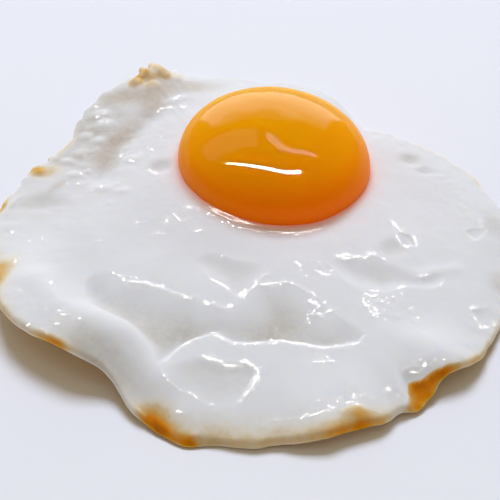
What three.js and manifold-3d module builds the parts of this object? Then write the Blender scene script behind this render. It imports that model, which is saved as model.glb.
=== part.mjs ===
// A fried egg, sunny side up: one set egg white with a browned rim that lifts off the surface in
// places, and one whole yolk seated in it towards the back.
// Millimetres, +Z up. The origin is under the middle of the egg, at the level it rests on. -Y is the
// front, where the white is widest, and +Y is the back, where the yolk is.
// Bearings are degrees round the origin, anticlockwise from +X seen from above.
import * as THREE from "three";
import { mergeVertices } from "three/addons/utils/BufferGeometryUtils.js";
import Module from "manifold-3d";

// Driving sizes of the yolk: a flattened ball whose widest level is where the white meets it.
const YOLK = {
  x: 5.1,
  y: 16.1,
  z: 6.0, // its widest level
  width: 41.8,
  depth: 41.0,
  above: 12.7, // height of the dome over the widest level
  below: 4.5, // depth of the belly under it
  squareness: 2.12, // 2 is an ellipse, more is fuller at the shoulders
  rollDegrees: 5.2, // it leans down towards +X
};

// Driving sizes of the white.
const WHITE = {
  radius: 54.3, // of the plain outline, before its lobes
  body: 4.7, // thickness well inside the rim
  rim: 1.5, // thickness just inside the rim
  rimRun: 8.0, // distance over which the rim thickens into the body
  collar: 1.4, // how much higher the thick white stands against the yolk
  collarRun: 9.0, // how far that thick white reaches from the yolk
  lowBearing: -25, // where, seen from the yolk's middle, the yolk leans down and the collar is low
  restingRim: 0.3, // gap under the rim where it isn't lifted
  liftRun: 19.0, // distance from the rim over which a lifted underside comes down
};

// Where the outline leaves the plain circle: bearing, half width in degrees, and millimetres out.
const LOBES = [
  { at: 20, wide: 16, out: -2.8 }, // right side, drawn in a little
  { at: 46, wide: 17, out: -9.0 }, // flat side behind and right of the yolk
  { at: 54, wide: 6, out: -3.9 }, // where it comes closest to the yolk
  { at: 64, wide: 8, out: -2.5 },
  { at: 84, wide: 12, out: -2.3 }, // thin back edge behind the yolk
  { at: 112.5, wide: 4, out: 3.2 }, // browned tip of the back left horn
  { at: 118, wide: 12, out: 5.0 }, // the horn
  { at: 131, wide: 8, out: 1.9 },
  { at: 149, wide: 11, out: -4.7 }, // bay left of the horn
  { at: 166, wide: 7, out: -1.4 },
  { at: 196, wide: 9, out: -1.2 },
  { at: 213, wide: 14, out: 1.8 }, // lifted front left shoulder
  { at: 226, wide: 7, out: -1.0 },
  { at: 238, wide: 7, out: -3.1 }, // bay where the lifted edge comes down
  { at: 249, wide: 5, out: 1.3 },
  { at: 258, wide: 6, out: 3.9 }, // browned front left corner
  { at: 269, wide: 6, out: 2.8 },
  { at: 280.5, wide: 6, out: 1.9 },
  { at: 295, wide: 20, out: 4.0 }, // broad front
  { at: 307, wide: 6.5, out: -1.6 }, // notch in the front right edge
  { at: 312, wide: 12, out: 2.5 }, // front right shoulder
  { at: 330, wide: 12, out: 2.4 },
  { at: 348, wide: 8, out: -1.0 },
];

// Where the rim lifts off the surface: bearing, half width in degrees, and millimetres up.
const LIFTS = [
  { at: 215, wide: 23, up: 6.2 }, // front left, the highest
  { at: 231.5, wide: 9.5, up: 2.9 },
  { at: 284, wide: 7, up: 1.9 }, // front
  { at: 292.5, wide: 4, up: 0.9 },
  { at: 312.5, wide: 6.5, up: 2.3 }, // beside the notch
  { at: 322, wide: 26, up: 2.6 }, // front right
  { at: 114, wide: 9, up: 1.6 }, // tip of the horn
  { at: 0, wide: 22, up: 1.0 }, // right
];

// Where the rim is thicker or thinner than plain: bearing, half width in degrees, and millimetres.
const RIM_ROLLS = [
  { at: 282, wide: 36, up: 0.6 }, // rolled front rim
  { at: 251, wide: 10, up: -0.4 }, // thin fried corner
  { at: 218, wide: 20, up: 0.4 },
  { at: 308, wide: 6, up: -0.3 },
];

// Round swells (+) and hollows (-) in the top: middle, half lengths, turn in degrees, and height.
const SWELLS = [
  { x: -38, y: 22, long: 26, wide: 17, turn: 60, up: -1.7 }, // thin, blistered back left
  { x: 40, y: 14, long: 22, wide: 14, turn: 100, up: -1.2 }, // thin right
  { x: -23, y: 51, long: 6, wide: 4, turn: 0, up: 1.8 }, // blistered horn
];

// Long folds (+) and creases (-) in the top: the line each follows, half width and height.
const FOLDS = [
  { up: 2.3, wide: 4.2, line: [[-42, -22], [-36, -29], [-28, -33], [-21.5, -38], [-17.5, -45]] },
  { up: -1.0, wide: 2.8, line: [[-24, 35], [-30, 26], [-32.5, 15]] }, // back left crease
];

// Low places in the top with a clear edge: how deep, how far the slope runs in from the edge, and
// where the edge goes.
const VALLEY = [
  [-30, -16.5], [-21, -20.2], [-7, -26.3], [-4.4, -27.3], [1.4, -20.2], [9.6, -21.3], [16.3, -28.7],
  [21.8, -33.6], [17.6, -36.7], [-3.5, -35.9], [-8.8, -34.4], [-17.2, -42.5], [-24.3, -32.9],
  [-31.3, -27.8], [-32.5, -18.8],
];
const RIGHT_HOLLOW = [
  [15.8, -14.7], [19.1, -12.5], [24.6, -12.2], [30, -16], [39.2, -16.4], [36.7, -21.1],
  [26, -23.1], [19.5, -20.6],
];
const DISH = [[-16.4, -43.9], [-8.9, -39.2], [1, -41.9], [0, -47], [-6.4, -51], [-12.1, -47.7]];
const POCKET = [[-11.8, -13.8], [-9.2, -11.8], [2.6, -15], [0.6, -20.4], [-2.5, -24.8], [-8, -18.8]];
const BASINS = [
  { depth: 1.6, run: 4.5, edge: VALLEY }, // across the front, under the thick white's crest
  { depth: 1.2, run: 3.5, edge: RIGHT_HOLLOW },
  { depth: 0.6, run: 2.5, edge: DISH }, // in the front mound
  { depth: 0.6, run: 2.5, edge: POCKET }, // before the yolk
];

const YOLK_GAP = 0.3; // clearance between the yolk and its seat, all round
const AROUND = 112; // facets round the white
const RINGS = 17; // rings from the middle to the rim, on each side
const RIM_STEPS = 4; // facets over the rounded rim
const YOLK_AROUND = 48;
const YOLK_RINGS = 8; // rings on the dome, and on the belly

const radians = THREE.MathUtils.degToRad;

// The sum of the bearing features, each a soft bump exp(-(turn / wide)^2).
function along(features, bearing, size) {
  return features.reduce((sum, f) => {
    const turn = THREE.MathUtils.euclideanModulo(bearing - f.at + 180, 360) - 180;
    return sum + f[size] * Math.exp(-((turn / f.wide) ** 2));
  }, 0);
}

const rimRadius = (bearing) => WHITE.radius + along(LOBES, bearing, "out");
const rimLift = (bearing) => WHITE.restingRim + along(LIFTS, bearing, "up");
const rimThickness = (bearing) => WHITE.rim + along(RIM_ROLLS, bearing, "up");

// A swell's height at a point: a soft ellipse with a flattish middle.
function swellAt(swell, x, y) {
  const turn = radians(swell.turn);
  const u = (x - swell.x) * Math.cos(turn) + (y - swell.y) * Math.sin(turn);
  const v = (y - swell.y) * Math.cos(turn) - (x - swell.x) * Math.sin(turn);
  const far = (u / swell.long) ** 2 + (v / swell.wide) ** 2;
  return swell.up * Math.exp(-(far ** 1.4));
}

// The distance from a point to one straight piece.
function distanceToPiece([[x0, y0], [x1, y1]], x, y) {
  const piece = new THREE.Line3(new THREE.Vector3(x0, y0, 0), new THREE.Vector3(x1, y1, 0));
  const point = new THREE.Vector3(x, y, 0);
  return piece.closestPointToPoint(point, true, new THREE.Vector3()).distanceTo(point);
}

// The distance from a point to the nearest piece of a line.
function distanceTo(line, x, y) {
  const pieces = line.slice(1).map((end, i) => [line[i], end]);
  return Math.min(...pieces.map((piece) => distanceToPiece(piece, x, y)));
}

const foldAt = (fold, x, y) => fold.up * Math.exp(-((distanceTo(fold.line, x, y) / fold.wide) ** 2));

// Whether a point lies within a closed edge: a ray to +X crosses it an odd number of times.
function within(edge, x, y) {
  const crossings = edge.filter(([x0, y0], i) => {
    const [x1, y1] = edge[(i + 1) % edge.length];
    return y0 > y !== y1 > y && x < x0 + ((y - y0) * (x1 - x0)) / (y1 - y0);
  });
  return crossings.length % 2 === 1;
}

// A basin's height at a point: 0 at its edge, easing down to its depth.
function basinAt(basin, x, y) {
  const [start] = basin.edge;
  const far = distanceTo([...basin.edge, start], x, y);
  const down = THREE.MathUtils.smoothstep(far, 0, basin.run);
  return within(basin.edge, x, y) ? -basin.depth * down : 0;
}

// How far inside the outline a point lies, measured along its own bearing.
function insideBy(x, y) {
  const bearing = THREE.MathUtils.radToDeg(Math.atan2(y, x));
  return { bearing, inside: Math.max(0, rimRadius(bearing) - Math.hypot(x, y)) };
}

// The underside: flat on the surface, rising towards the rim where the rim is lifted.
function undersideAt(x, y) {
  const { bearing, inside } = insideBy(x, y);
  const rise = 1 - THREE.MathUtils.smoothstep(inside, 0, WHITE.liftRun);
  return rimLift(bearing) * rise;
}

// The top: the underside, the white's thickness, the collar round the yolk, and the relief.
function topAt(x, y) {
  const { bearing, inside } = insideBy(x, y);
  const rim = rimThickness(bearing);
  const fill = 1 - Math.exp(-((inside / WHITE.rimRun) ** 1.3));
  const fromYolk = Math.max(0, Math.hypot(x - YOLK.x, y - YOLK.y) - YOLK.width / 2);
  const fromLow = Math.atan2(y - YOLK.y, x - YOLK.x) - radians(WHITE.lowBearing);
  const low = THREE.MathUtils.smoothstep(Math.cos(fromLow), -0.3, 0.9);
  const collar = WHITE.collar * (1 - 1.2 * low) * Math.exp(-((fromYolk / WHITE.collarRun) ** 2));
  const relief =
    SWELLS.reduce((sum, s) => sum + swellAt(s, x, y), 0) +
    FOLDS.reduce((sum, f) => sum + foldAt(f, x, y), 0) +
    BASINS.reduce((sum, b) => sum + basinAt(b, x, y), 0);
  const thickness = rim + (WHITE.body - rim + collar + relief) * fill;
  return undersideAt(x, y) + Math.max(thickness, WHITE.rim * 0.6);
}

// The white before its seat is cut. A lathe makes a closed disc of rings, in which the radius runs
// from 0 in the middle to 1 at the rim and the height from -1 on the underside to 1 on top. Each
// of its points then moves to its real place, on a line from the yolk's middle to the outline.
function whiteBlank() {
  const even = (i) => 1 - (1 - i / RINGS) ** 1.15; // rings a little closer towards the rim
  const rounding = 0.02; // share of the way out that the rounded rim takes
  const side = Array.from({ length: RINGS }, (_, i) => even(i) * (1 - rounding));
  const profile = [
    ...side.map((r) => new THREE.Vector2(r, -1)),
    ...Array.from({ length: RIM_STEPS + 1 }, (_, i) => {
      const turn = -Math.PI / 2 + (Math.PI * i) / RIM_STEPS;
      return new THREE.Vector2(1 - rounding + rounding * Math.cos(turn), Math.sin(turn));
    }),
    ...side.map((r) => new THREE.Vector2(r, 1)).reverse(),
  ];
  const disc = new THREE.LatheGeometry(profile, AROUND);
  disc.rotateX(Math.PI / 2); // the lathe's axis, +Y, turns to +Z
  const at = disc.getAttribute("position");
  for (let i = 0; i < at.count; i += 1) {
    const out = Math.hypot(at.getX(i), at.getY(i));
    const bearing = THREE.MathUtils.radToDeg(Math.atan2(at.getY(i), at.getX(i)));
    const level = (at.getZ(i) + 1) / 2;
    const reach = rimRadius(bearing);
    const x = THREE.MathUtils.lerp(YOLK.x, reach * Math.cos(radians(bearing)), out);
    const y = THREE.MathUtils.lerp(YOLK.y, reach * Math.sin(radians(bearing)), out);
    at.setXYZ(i, x, y, THREE.MathUtils.lerp(undersideAt(x, y), topAt(x, y), level));
  }
  return disc;
}

// The yolk, grown by a clearance on every side. Its profile is a superellipse, deeper above the
// widest level than below it.
function yolkBody(grow = 0) {
  const radius = YOLK.width / 2 + grow;
  const quarter = (height) =>
    Array.from({ length: YOLK_RINGS + 1 }, (_, i) => {
      const turn = (Math.PI / 2) * (i / YOLK_RINGS);
      const power = YOLK.squareness;
      const size = (Math.cos(turn) ** power + Math.sin(turn) ** power) ** (-1 / power);
      return new THREE.Vector2(radius * size * Math.cos(turn), height * size * Math.sin(turn));
    });
  const dome = quarter(YOLK.above + grow);
  const belly = quarter(-(YOLK.below + grow)).reverse();
  dome[YOLK_RINGS].x = 0;
  belly[0].x = 0;
  const body = new THREE.LatheGeometry([...belly, ...dome.slice(1)], YOLK_AROUND);
  body.rotateX(Math.PI / 2);
  body.scale(1, YOLK.depth / YOLK.width, 1);
  body.rotateY(radians(YOLK.rollDegrees));
  return body.translate(YOLK.x, YOLK.y, YOLK.z);
}

const wasm = await Module();
wasm.setup();

// A closed three.js geometry as a solid that can be cut.
function solidOf(geometry) {
  geometry.deleteAttribute("normal");
  geometry.deleteAttribute("uv");
  const merged = mergeVertices(geometry, 1e-4);
  return new wasm.Manifold(
    new wasm.Mesh({
      numProp: 3,
      vertProperties: merged.getAttribute("position").array,
      triVerts: Uint32Array.from(merged.index.array),
    }),
  );
}

// The solid as a three.js geometry again.
function geometryOf(solid) {
  const { vertProperties, triVerts } = solid.getMesh();
  const geometry = new THREE.BufferGeometry();
  geometry.setAttribute("position", new THREE.BufferAttribute(vertProperties, 3));
  geometry.setIndex(new THREE.BufferAttribute(triVerts, 1));
  geometry.computeVertexNormals();
  return geometry;
}

function eggWhite() {
  const seated = solidOf(whiteBlank()).subtract(solidOf(yolkBody(YOLK_GAP)));
  const material = new THREE.MeshStandardMaterial({ color: 0xe3e5ea, roughness: 0.22, metalness: 0 });
  const mesh = new THREE.Mesh(geometryOf(seated), material);
  mesh.name = "egg_white";
  return mesh;
}

function yolk() {
  const material = new THREE.MeshStandardMaterial({ color: 0xe0860c, roughness: 0.12, metalness: 0 });
  const mesh = new THREE.Mesh(yolkBody(), material);
  mesh.name = "yolk";
  return mesh;
}

const egg = new THREE.Group();
egg.add(eggWhite(), yolk());
export default egg;
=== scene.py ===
"""A fried egg, sunny side up: its wet set white with a browned, ragged rim, and its whole yolk.

Sizes in the classes are millimetres in the part's own frame (+X right, +Y back, +Z up, origin under
the middle of the egg). Meshes are written in metres. Bearings are degrees round the origin,
anticlockwise from +X seen from above.
"""

import logging
from dataclasses import dataclass, field
from enum import Enum

import bpy
import numpy as np
from mathutils import Matrix, Vector


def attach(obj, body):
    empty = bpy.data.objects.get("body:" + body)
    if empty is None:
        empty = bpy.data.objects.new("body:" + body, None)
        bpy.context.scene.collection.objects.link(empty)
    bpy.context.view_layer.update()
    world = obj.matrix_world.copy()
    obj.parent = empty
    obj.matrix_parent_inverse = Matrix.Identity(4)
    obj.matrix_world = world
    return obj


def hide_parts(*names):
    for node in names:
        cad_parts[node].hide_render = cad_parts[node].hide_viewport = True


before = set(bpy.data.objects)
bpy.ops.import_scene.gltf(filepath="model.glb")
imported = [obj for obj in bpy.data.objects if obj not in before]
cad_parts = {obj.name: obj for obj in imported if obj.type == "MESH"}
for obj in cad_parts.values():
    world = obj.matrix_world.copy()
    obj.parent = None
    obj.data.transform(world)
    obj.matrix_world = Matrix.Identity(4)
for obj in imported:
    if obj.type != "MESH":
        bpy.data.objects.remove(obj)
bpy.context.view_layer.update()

MM = 0.001  # metres in a millimetre

Array = np.ndarray
Point = tuple[float, float]
log = logging.getLogger("fried_egg")


# ---------------------------------------------------------------- small tools


def linear(code: str) -> tuple[float, float, float, float]:
    """Turn an sRGB hex colour into the linear colour that shaders take.

    Args:
        code: the colour as "#rrggbb".

    Returns:
        Red, green and blue from 0 to 1, linear, and an alpha of 1.
    """
    srgb = np.array([int(code[i : i + 2], 16) for i in (1, 3, 5)]) / 255
    value = np.where(srgb <= 0.04045, srgb / 12.92, ((srgb + 0.055) / 1.055) ** 2.4)
    return (*(float(v) for v in value), 1.0)


def smoothstep(value: Array, low: float, high: float) -> Array:
    """Ease from 0 at low to 1 at high, level at both ends.

    Args:
        value: the numbers to ease.
        low: where the rise starts.
        high: where it ends.

    Returns:
        Numbers from 0 to 1, of the shape of value.
    """
    share = np.clip((value - low) / (high - low), 0, 1)
    return share * share * (3 - 2 * share)


class GradientNoise:
    """Smooth seeded noise on the plane, about -1 to 1: blended slopes on a square lattice."""

    CELLS = 256

    def __init__(self, seed: int) -> None:
        """Draw the lattice.

        Args:
            seed: the number that fixes the pattern.
        """
        rng = np.random.default_rng(seed)
        self.order = rng.permutation(self.CELLS)
        turn = rng.uniform(0, 2 * np.pi, self.CELLS)
        self.slopes = np.stack([np.cos(turn), np.sin(turn)], -1)

    def at(self, x: Array, y: Array, size: float) -> Array:
        """Evaluate the noise: four corner slopes blended with a fifth-power ease.

        Args:
            x: millimetres along X.
            y: millimetres along Y.
            size: millimetres between lattice points.

        Returns:
            The noise at each point.
        """
        u, v = x / size, y / size
        cell_u, cell_v = np.floor(u).astype(int), np.floor(v).astype(int)
        u, v = u - cell_u, v - cell_v
        ease_u, ease_v = (t**3 * (t * (t * 6 - 15) + 10) for t in (u, v))
        corners = []
        for step_v in (0, 1):
            for step_u in (0, 1):
                row = self.order[(cell_v + step_v) % self.CELLS]
                slope = self.slopes[self.order[(row + cell_u + step_u) % self.CELLS]]
                corners.append(slope[..., 0] * (u - step_u) + slope[..., 1] * (v - step_v))
        near = corners[0] + ease_u * (corners[1] - corners[0])
        far = corners[2] + ease_u * (corners[3] - corners[2])
        return 1.5 * (near + ease_v * (far - near))

    def layered(self, x: Array, y: Array, size: float, layers: int) -> Array:
        """Add finer and weaker copies of the noise, each half the size and half the height.

        Args:
            x: millimetres along X.
            y: millimetres along Y.
            size: lattice size of the coarsest layer, in millimetres.
            layers: how many layers.

        Returns:
            The sum at each point.
        """
        offsets = 17.3 * np.arange(layers)
        return sum(
            self.at(x + offset, y - offset, size / 2**k) / 2**k for k, offset in enumerate(offsets)
        )


# ---------------------------------------------------------------- features of the form


def rows(kind: type, *numbers: tuple[float, ...]) -> tuple:
    """Make one feature of a kind from each row of its numbers."""
    return tuple(kind(*row) for row in numbers)


@dataclass(frozen=True)
class RimBump:
    """A soft change along the rim: amount * exp(-(turn / wide)^2)."""

    at: float  # bearing of its middle
    wide: float  # degrees
    amount: float


def along_rim(bumps: tuple[RimBump, ...], bearing: Array) -> Array:
    """Add up the changes along the rim.

    Args:
        bumps: the changes.
        bearing: where, in degrees.

    Returns:
        Their sum at each bearing.
    """
    total = np.zeros_like(bearing)
    for bump in bumps:
        turn = (bearing - bump.at + 180) % 360 - 180
        total = total + bump.amount * np.exp(-((turn / bump.wide) ** 2))
    return total


@dataclass(frozen=True)
class Patch:
    """A soft oval with a flattish middle: a rise (+) or hollow (-), or a stain's strength."""

    x: float
    y: float
    long: float  # half lengths along and across
    wide: float
    turn: float  # degrees from +X to its long way
    up: float

    def height(self, x: Array, y: Array) -> Array:
        """Give up * exp(-q^1.4), where q is the squared distance in half lengths.

        Args:
            x: millimetres along X.
            y: millimetres along Y.

        Returns:
            The height, or strength, at each point.
        """
        turn = np.radians(self.turn)
        u = (x - self.x) * np.cos(turn) + (y - self.y) * np.sin(turn)
        v = (y - self.y) * np.cos(turn) - (x - self.x) * np.sin(turn)
        return self.up * np.exp(-(((u / self.long) ** 2 + (v / self.wide) ** 2) ** 1.4))


@dataclass(frozen=True)
class Line:
    """A line of straight pieces on the top."""

    points: tuple[Point, ...]

    def length(self) -> float:
        """Give the line's length in millimetres."""
        return float(np.hypot(*np.diff(np.array(self.points, float), axis=0).T).sum())

    def at(self, run: Array) -> Array:
        """Give the points that lie so many millimetres along the line."""
        ends = np.array(self.points, float)
        runs = np.concatenate([[0], np.cumsum(np.hypot(*np.diff(ends, axis=0).T))])
        return np.stack([np.interp(run, runs, ends[:, 0]), np.interp(run, runs, ends[:, 1])], -1)

    def measure(self, x: Array, y: Array) -> tuple[Array, Array, Array]:
        """Find the nearest place on the line.

        Args:
            x: millimetres along X.
            y: millimetres along Y.

        Returns:
            The distance, the same with a minus sign on the right of the line, and the share of the
            line's length that lies before the nearest place.
        """
        ends = np.array(self.points, float)
        lengths = np.hypot(*np.diff(ends, axis=0).T)
        starts = np.concatenate([[0], np.cumsum(lengths)])
        best = np.full(x.shape, np.inf)
        share = np.zeros(x.shape)
        side = np.ones(x.shape)
        for start, end, length, before in zip(ends, ends[1:], lengths, starts):
            ux, uy = (end - start) / length
            along = (x - start[0]) * ux + (y - start[1]) * uy
            across = (y - start[1]) * ux - (x - start[0]) * uy
            held = np.clip(along, 0, length)
            distance = np.hypot(along - held, across)
            nearer = distance < best
            best = np.where(nearer, distance, best)
            side = np.where(nearer, np.where(across < 0, -1, 1), side)
            share = np.where(nearer, (before + held) / starts[-1], share)
        return best, best * side, share


@dataclass(frozen=True)
class Fold:
    """A long fold (+) or crease (-): up * exp(-(distance / wide)^2)."""

    up: float
    wide: float
    line: Line

    def height(self, x: Array, y: Array) -> Array:
        """Give the fold's height at each point."""
        distance, _, _ = self.line.measure(x, y)
        return self.up * np.exp(-((distance / self.wide) ** 2))


@dataclass(frozen=True)
class Side:
    """One side of a basin: how far its slope runs in from the edge, and where the edge goes."""

    run: float
    points: tuple[Point, ...]


@dataclass(frozen=True)
class Basin:
    """A low place with a closed edge of several sides, each with a slope of its own."""

    depth: float
    sides: tuple[Side, ...]

    def share(self, x: Array, y: Array) -> Array:
        """Give how far down each point is: 0 outside and at the edge, 1 at the floor.

        The distances to the sides, each in slope runs, are joined by a soft least value q. The
        way down is half the crisp 1 - (1 - q)^2, half the smooth 3q^2 - 2q^3.

        Args:
            x: millimetres along X.
            y: millimetres along Y.

        Returns:
            Numbers from 0 to 1.
        """
        sharpness = 3
        total = np.zeros(x.shape)
        for side in self.sides:
            distance, _, _ = Line(side.points).measure(x, y)
            total = total + (side.run / np.maximum(distance, 1e-4)) ** sharpness
        q = np.clip(total ** (-1 / sharpness), 0, 1)
        way_down = (1 - (1 - q) ** 2 + q * q * (3 - 2 * q)) / 2
        return np.where(self.holds(x, y), way_down, 0)

    def holds(self, x: Array, y: Array) -> Array:
        """Tell which points lie inside the edge: a ray to +X crosses it an odd number of times."""
        corners = np.concatenate([np.array(side.points[:-1], float) for side in self.sides])
        inside = np.zeros(x.shape, bool)
        for (x0, y0), (x1, y1) in zip(corners, np.roll(corners, -1, axis=0)):
            if y0 != y1:
                crosses = ((y0 > y) != (y1 > y)) & (x < x0 + (y - y0) * (x1 - x0) / (y1 - y0))
                inside = inside ^ crosses
        return inside

    def height(self, x: Array, y: Array) -> Array:
        """Give the basin's height, which is never above 0."""
        return -self.depth * self.share(x, y)


@dataclass(frozen=True)
class Wrinkle:
    """A fine ridge in the skin of the white, whose height comes and goes along it."""

    up: float
    wide: float
    line: Line
    film: float  # half width of the water film drawn up along it

    def height(self, x: Array, y: Array, noise: GradientNoise) -> Array:
        """Give a narrow fold that wanders a little and fades at its ends.

        Args:
            x: millimetres along X.
            y: millimetres along Y.
            noise: what makes it wander.

        Returns:
            The height at each point.
        """
        wander = 0.3
        distance, _, share = self.line.measure(
            x + wander * noise.at(x, y, 1.7), y + wander * noise.at(x + 40, y, 1.5)
        )
        usual, change = 0.85, 0.6
        strength = usual + change * noise.at(x, y + 70, 2.3)
        ends = smoothstep(share, -0.02, 0.08) * smoothstep(1 - share, -0.02, 0.08)
        return self.up * strength * ends * np.exp(-((distance / self.wide) ** 2))


def blisters(x: Array, y: Array, pitch: float, seed: int) -> Array:
    """Scatter round blisters of different sizes, one or none in each square of a lattice.

    Each is (1 - (distance / radius)^2)^2 high, and the highest one counts where two meet.

    Args:
        x: millimetres along X.
        y: millimetres along Y.
        pitch: millimetres between lattice points.
        seed: the number that fixes the pattern.

    Returns:
        Heights from 0 to 1.
    """
    size = 64
    smallest, largest = 0.25, 0.62  # radii in pitches
    filled = 0.7  # the share of squares that hold a blister
    rng = np.random.default_rng(seed)
    shift_x, shift_y = rng.uniform(0.15, 0.85, (2, size, size))
    radius = rng.uniform(smallest, largest, (size, size))
    grows = rng.uniform(0, 1, (size, size)) < filled
    u, v = x / pitch, y / pitch
    cell_u, cell_v = np.floor(u).astype(int), np.floor(v).astype(int)
    highest = np.zeros(x.shape)
    for step_u in (-1, 0, 1):
        for step_v in (-1, 0, 1):
            i, j = (cell_u + step_u) % size, (cell_v + step_v) % size
            away_u = u - (cell_u + step_u + shift_x[i, j])
            away_v = v - (cell_v + step_v + shift_y[i, j])
            near = np.clip(1 - (away_u**2 + away_v**2) / radius[i, j] ** 2, 0, 1)
            highest = np.maximum(highest, near**2 * radius[i, j] / largest * grows[i, j])
    return highest


# ---------------------------------------------------------------- meshes


@dataclass(frozen=True)
class Shell:
    """A closed surface of rings of points between two poles, in millimetres.

    The rings are shaped rings by around by 3, anticlockwise seen from the first pole's side.
    """

    rings: Array
    first_pole: Array
    last_pole: Array

    def points(self) -> Array:
        """List the points: the rings, then the two poles."""
        return np.concatenate([self.rings.reshape(-1, 3), [self.first_pole], [self.last_pole]])

    def faces(self) -> tuple[Array, Array]:
        """Join each ring to the next with quads and close each end with a fan of triangles.

        Returns:
            The corners of all faces one after another, and how many each face has.
        """
        count, around, _ = self.rings.shape
        here = np.arange(around)
        following = np.roll(here, -1)
        rows = np.arange(count - 1)[:, None] * around
        quads = np.stack(
            [rows + here, rows + around + here, rows + around + following, rows + following], -1
        ).reshape(-1, 4)
        first = np.stack([np.full(around, count * around), here, following], -1)
        base = (count - 1) * around
        last = np.stack([np.full(around, count * around + 1), base + following, base + here], -1)
        corners = np.concatenate([quads.ravel(), first.ravel(), last.ravel()])
        return corners, np.concatenate([np.full(len(quads), 4), np.full(2 * around, 3)])


def make_piece(name: str, shells: list[Shell]) -> bpy.types.Object:
    """Make one mesh of closed shells.

    Args:
        name: the object's name.
        shells: its surfaces, in millimetres.

    Returns:
        The object, linked to the scene, at the origin.
    """
    points = [shell.points() for shell in shells]
    starts = np.cumsum([0] + [len(part) for part in points])
    faces = [shell.faces() for shell in shells]
    co = np.concatenate(points) * MM
    corners = np.concatenate([part + start for (part, _), start in zip(faces, starts)])
    sizes = np.concatenate([part for _, part in faces])
    mesh = bpy.data.meshes.new(name)
    mesh.vertices.add(len(co))
    mesh.vertices.foreach_set("co", co.ravel())
    mesh.loops.add(len(corners))
    mesh.loops.foreach_set("vertex_index", corners.astype(np.int32))
    mesh.polygons.add(len(sizes))
    mesh.polygons.foreach_set("loop_start", np.concatenate([[0], np.cumsum(sizes)[:-1]]))
    mesh.polygons.foreach_set("use_smooth", np.ones(len(sizes), bool))
    mesh.update(calc_edges=True)
    mesh.validate()
    piece = bpy.data.objects.new(name, mesh)
    bpy.context.scene.collection.objects.link(piece)
    return piece


def paint(piece: bpy.types.Object, name: str, values: list[tuple[Array, Point]]) -> None:
    """Store one number for each point of a piece.

    Args:
        piece: the object that make_piece made.
        name: the attribute's name, which its material reads.
        values: for each shell, the numbers of its rings and those at its two poles.
    """
    attribute = piece.data.attributes.new(name, "FLOAT", "POINT")
    numbers = np.concatenate([part for rings, poles in values for part in (rings.ravel(), poles)])
    attribute.data.foreach_set("value", numbers.astype(np.float32))


# ---------------------------------------------------------------- the yolk


@dataclass(frozen=True)
class YolkForm:
    """A flattened ball, taller above its widest level than below it, that leans to the right."""

    x: float = 5.1
    y: float = 16.1
    z: float = 6.0  # its widest level
    width: float = 41.8
    depth: float = 41.0
    above: float = 12.7
    below: float = 4.5
    squareness: float = 2.12  # 2 is an ellipse, more is squarer
    roll: float = 5.2  # degrees
    around: int = 192
    rings: int = 150
    unevenness: float = 0.10
    uneven_pitch: float = 11.0

    def shell(self) -> Shell:
        """Lay rings down the superellipse |r|^n + |z|^n = 1, scaled to the yolk's sizes.

        Returns:
            The surface, from the top down.
        """
        level = np.linspace(np.pi / 2, -np.pi / 2, self.rings + 2)[1:-1, None]
        turn = np.linspace(0, 2 * np.pi, self.around, endpoint=False)[None, :]
        power = self.squareness
        size = (np.abs(np.cos(level)) ** power + np.abs(np.sin(level)) ** power) ** (-1 / power)
        out = size * np.cos(level)
        high = size * np.sin(level)
        x = self.width / 2 * out * np.cos(turn)
        y = self.depth / 2 * out * np.sin(turn)
        z = np.where(high > 0, self.above, self.below) * high * np.ones_like(turn)
        swell = GradientNoise(11).layered(x, y * 1.4 + 3, self.uneven_pitch, 2)
        z = z + self.unevenness * swell * smoothstep(high, 0.0, 0.5)
        poles = np.array([[0, 0, self.above], [0, 0, -self.below]])
        return Shell(self.placed(np.stack([x, y, z], -1)), *self.placed(poles))

    def placed(self, points: Array) -> Array:
        """Lean the points down towards +X and move them to the yolk's place."""
        lean = np.radians(self.roll)
        x, y, z = np.moveaxis(points, -1, 0)
        leaned_x = x * np.cos(lean) + z * np.sin(lean)
        leaned_z = z * np.cos(lean) - x * np.sin(lean)
        return np.stack([leaned_x + self.x, y + self.y, leaned_z + self.z], -1)


# ---------------------------------------------------------------- the white


@dataclass(frozen=True)
class RimStain:
    """Browning that spreads inwards from a stretch of the rim."""

    at: float  # bearing of its middle
    wide: float  # degrees
    strength: float
    reach: float

    def height(self, bearing: Array, inside: Array) -> Array:
        """Give strength * exp(-(turn / wide)^2) * exp(-(inside / reach)^1.5) at each point."""
        turn = (bearing - self.at + 180) % 360 - 180
        along = np.exp(-((turn / self.wide) ** 2))
        return self.strength * along * np.exp(-((inside / self.reach) ** 1.5))


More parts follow.
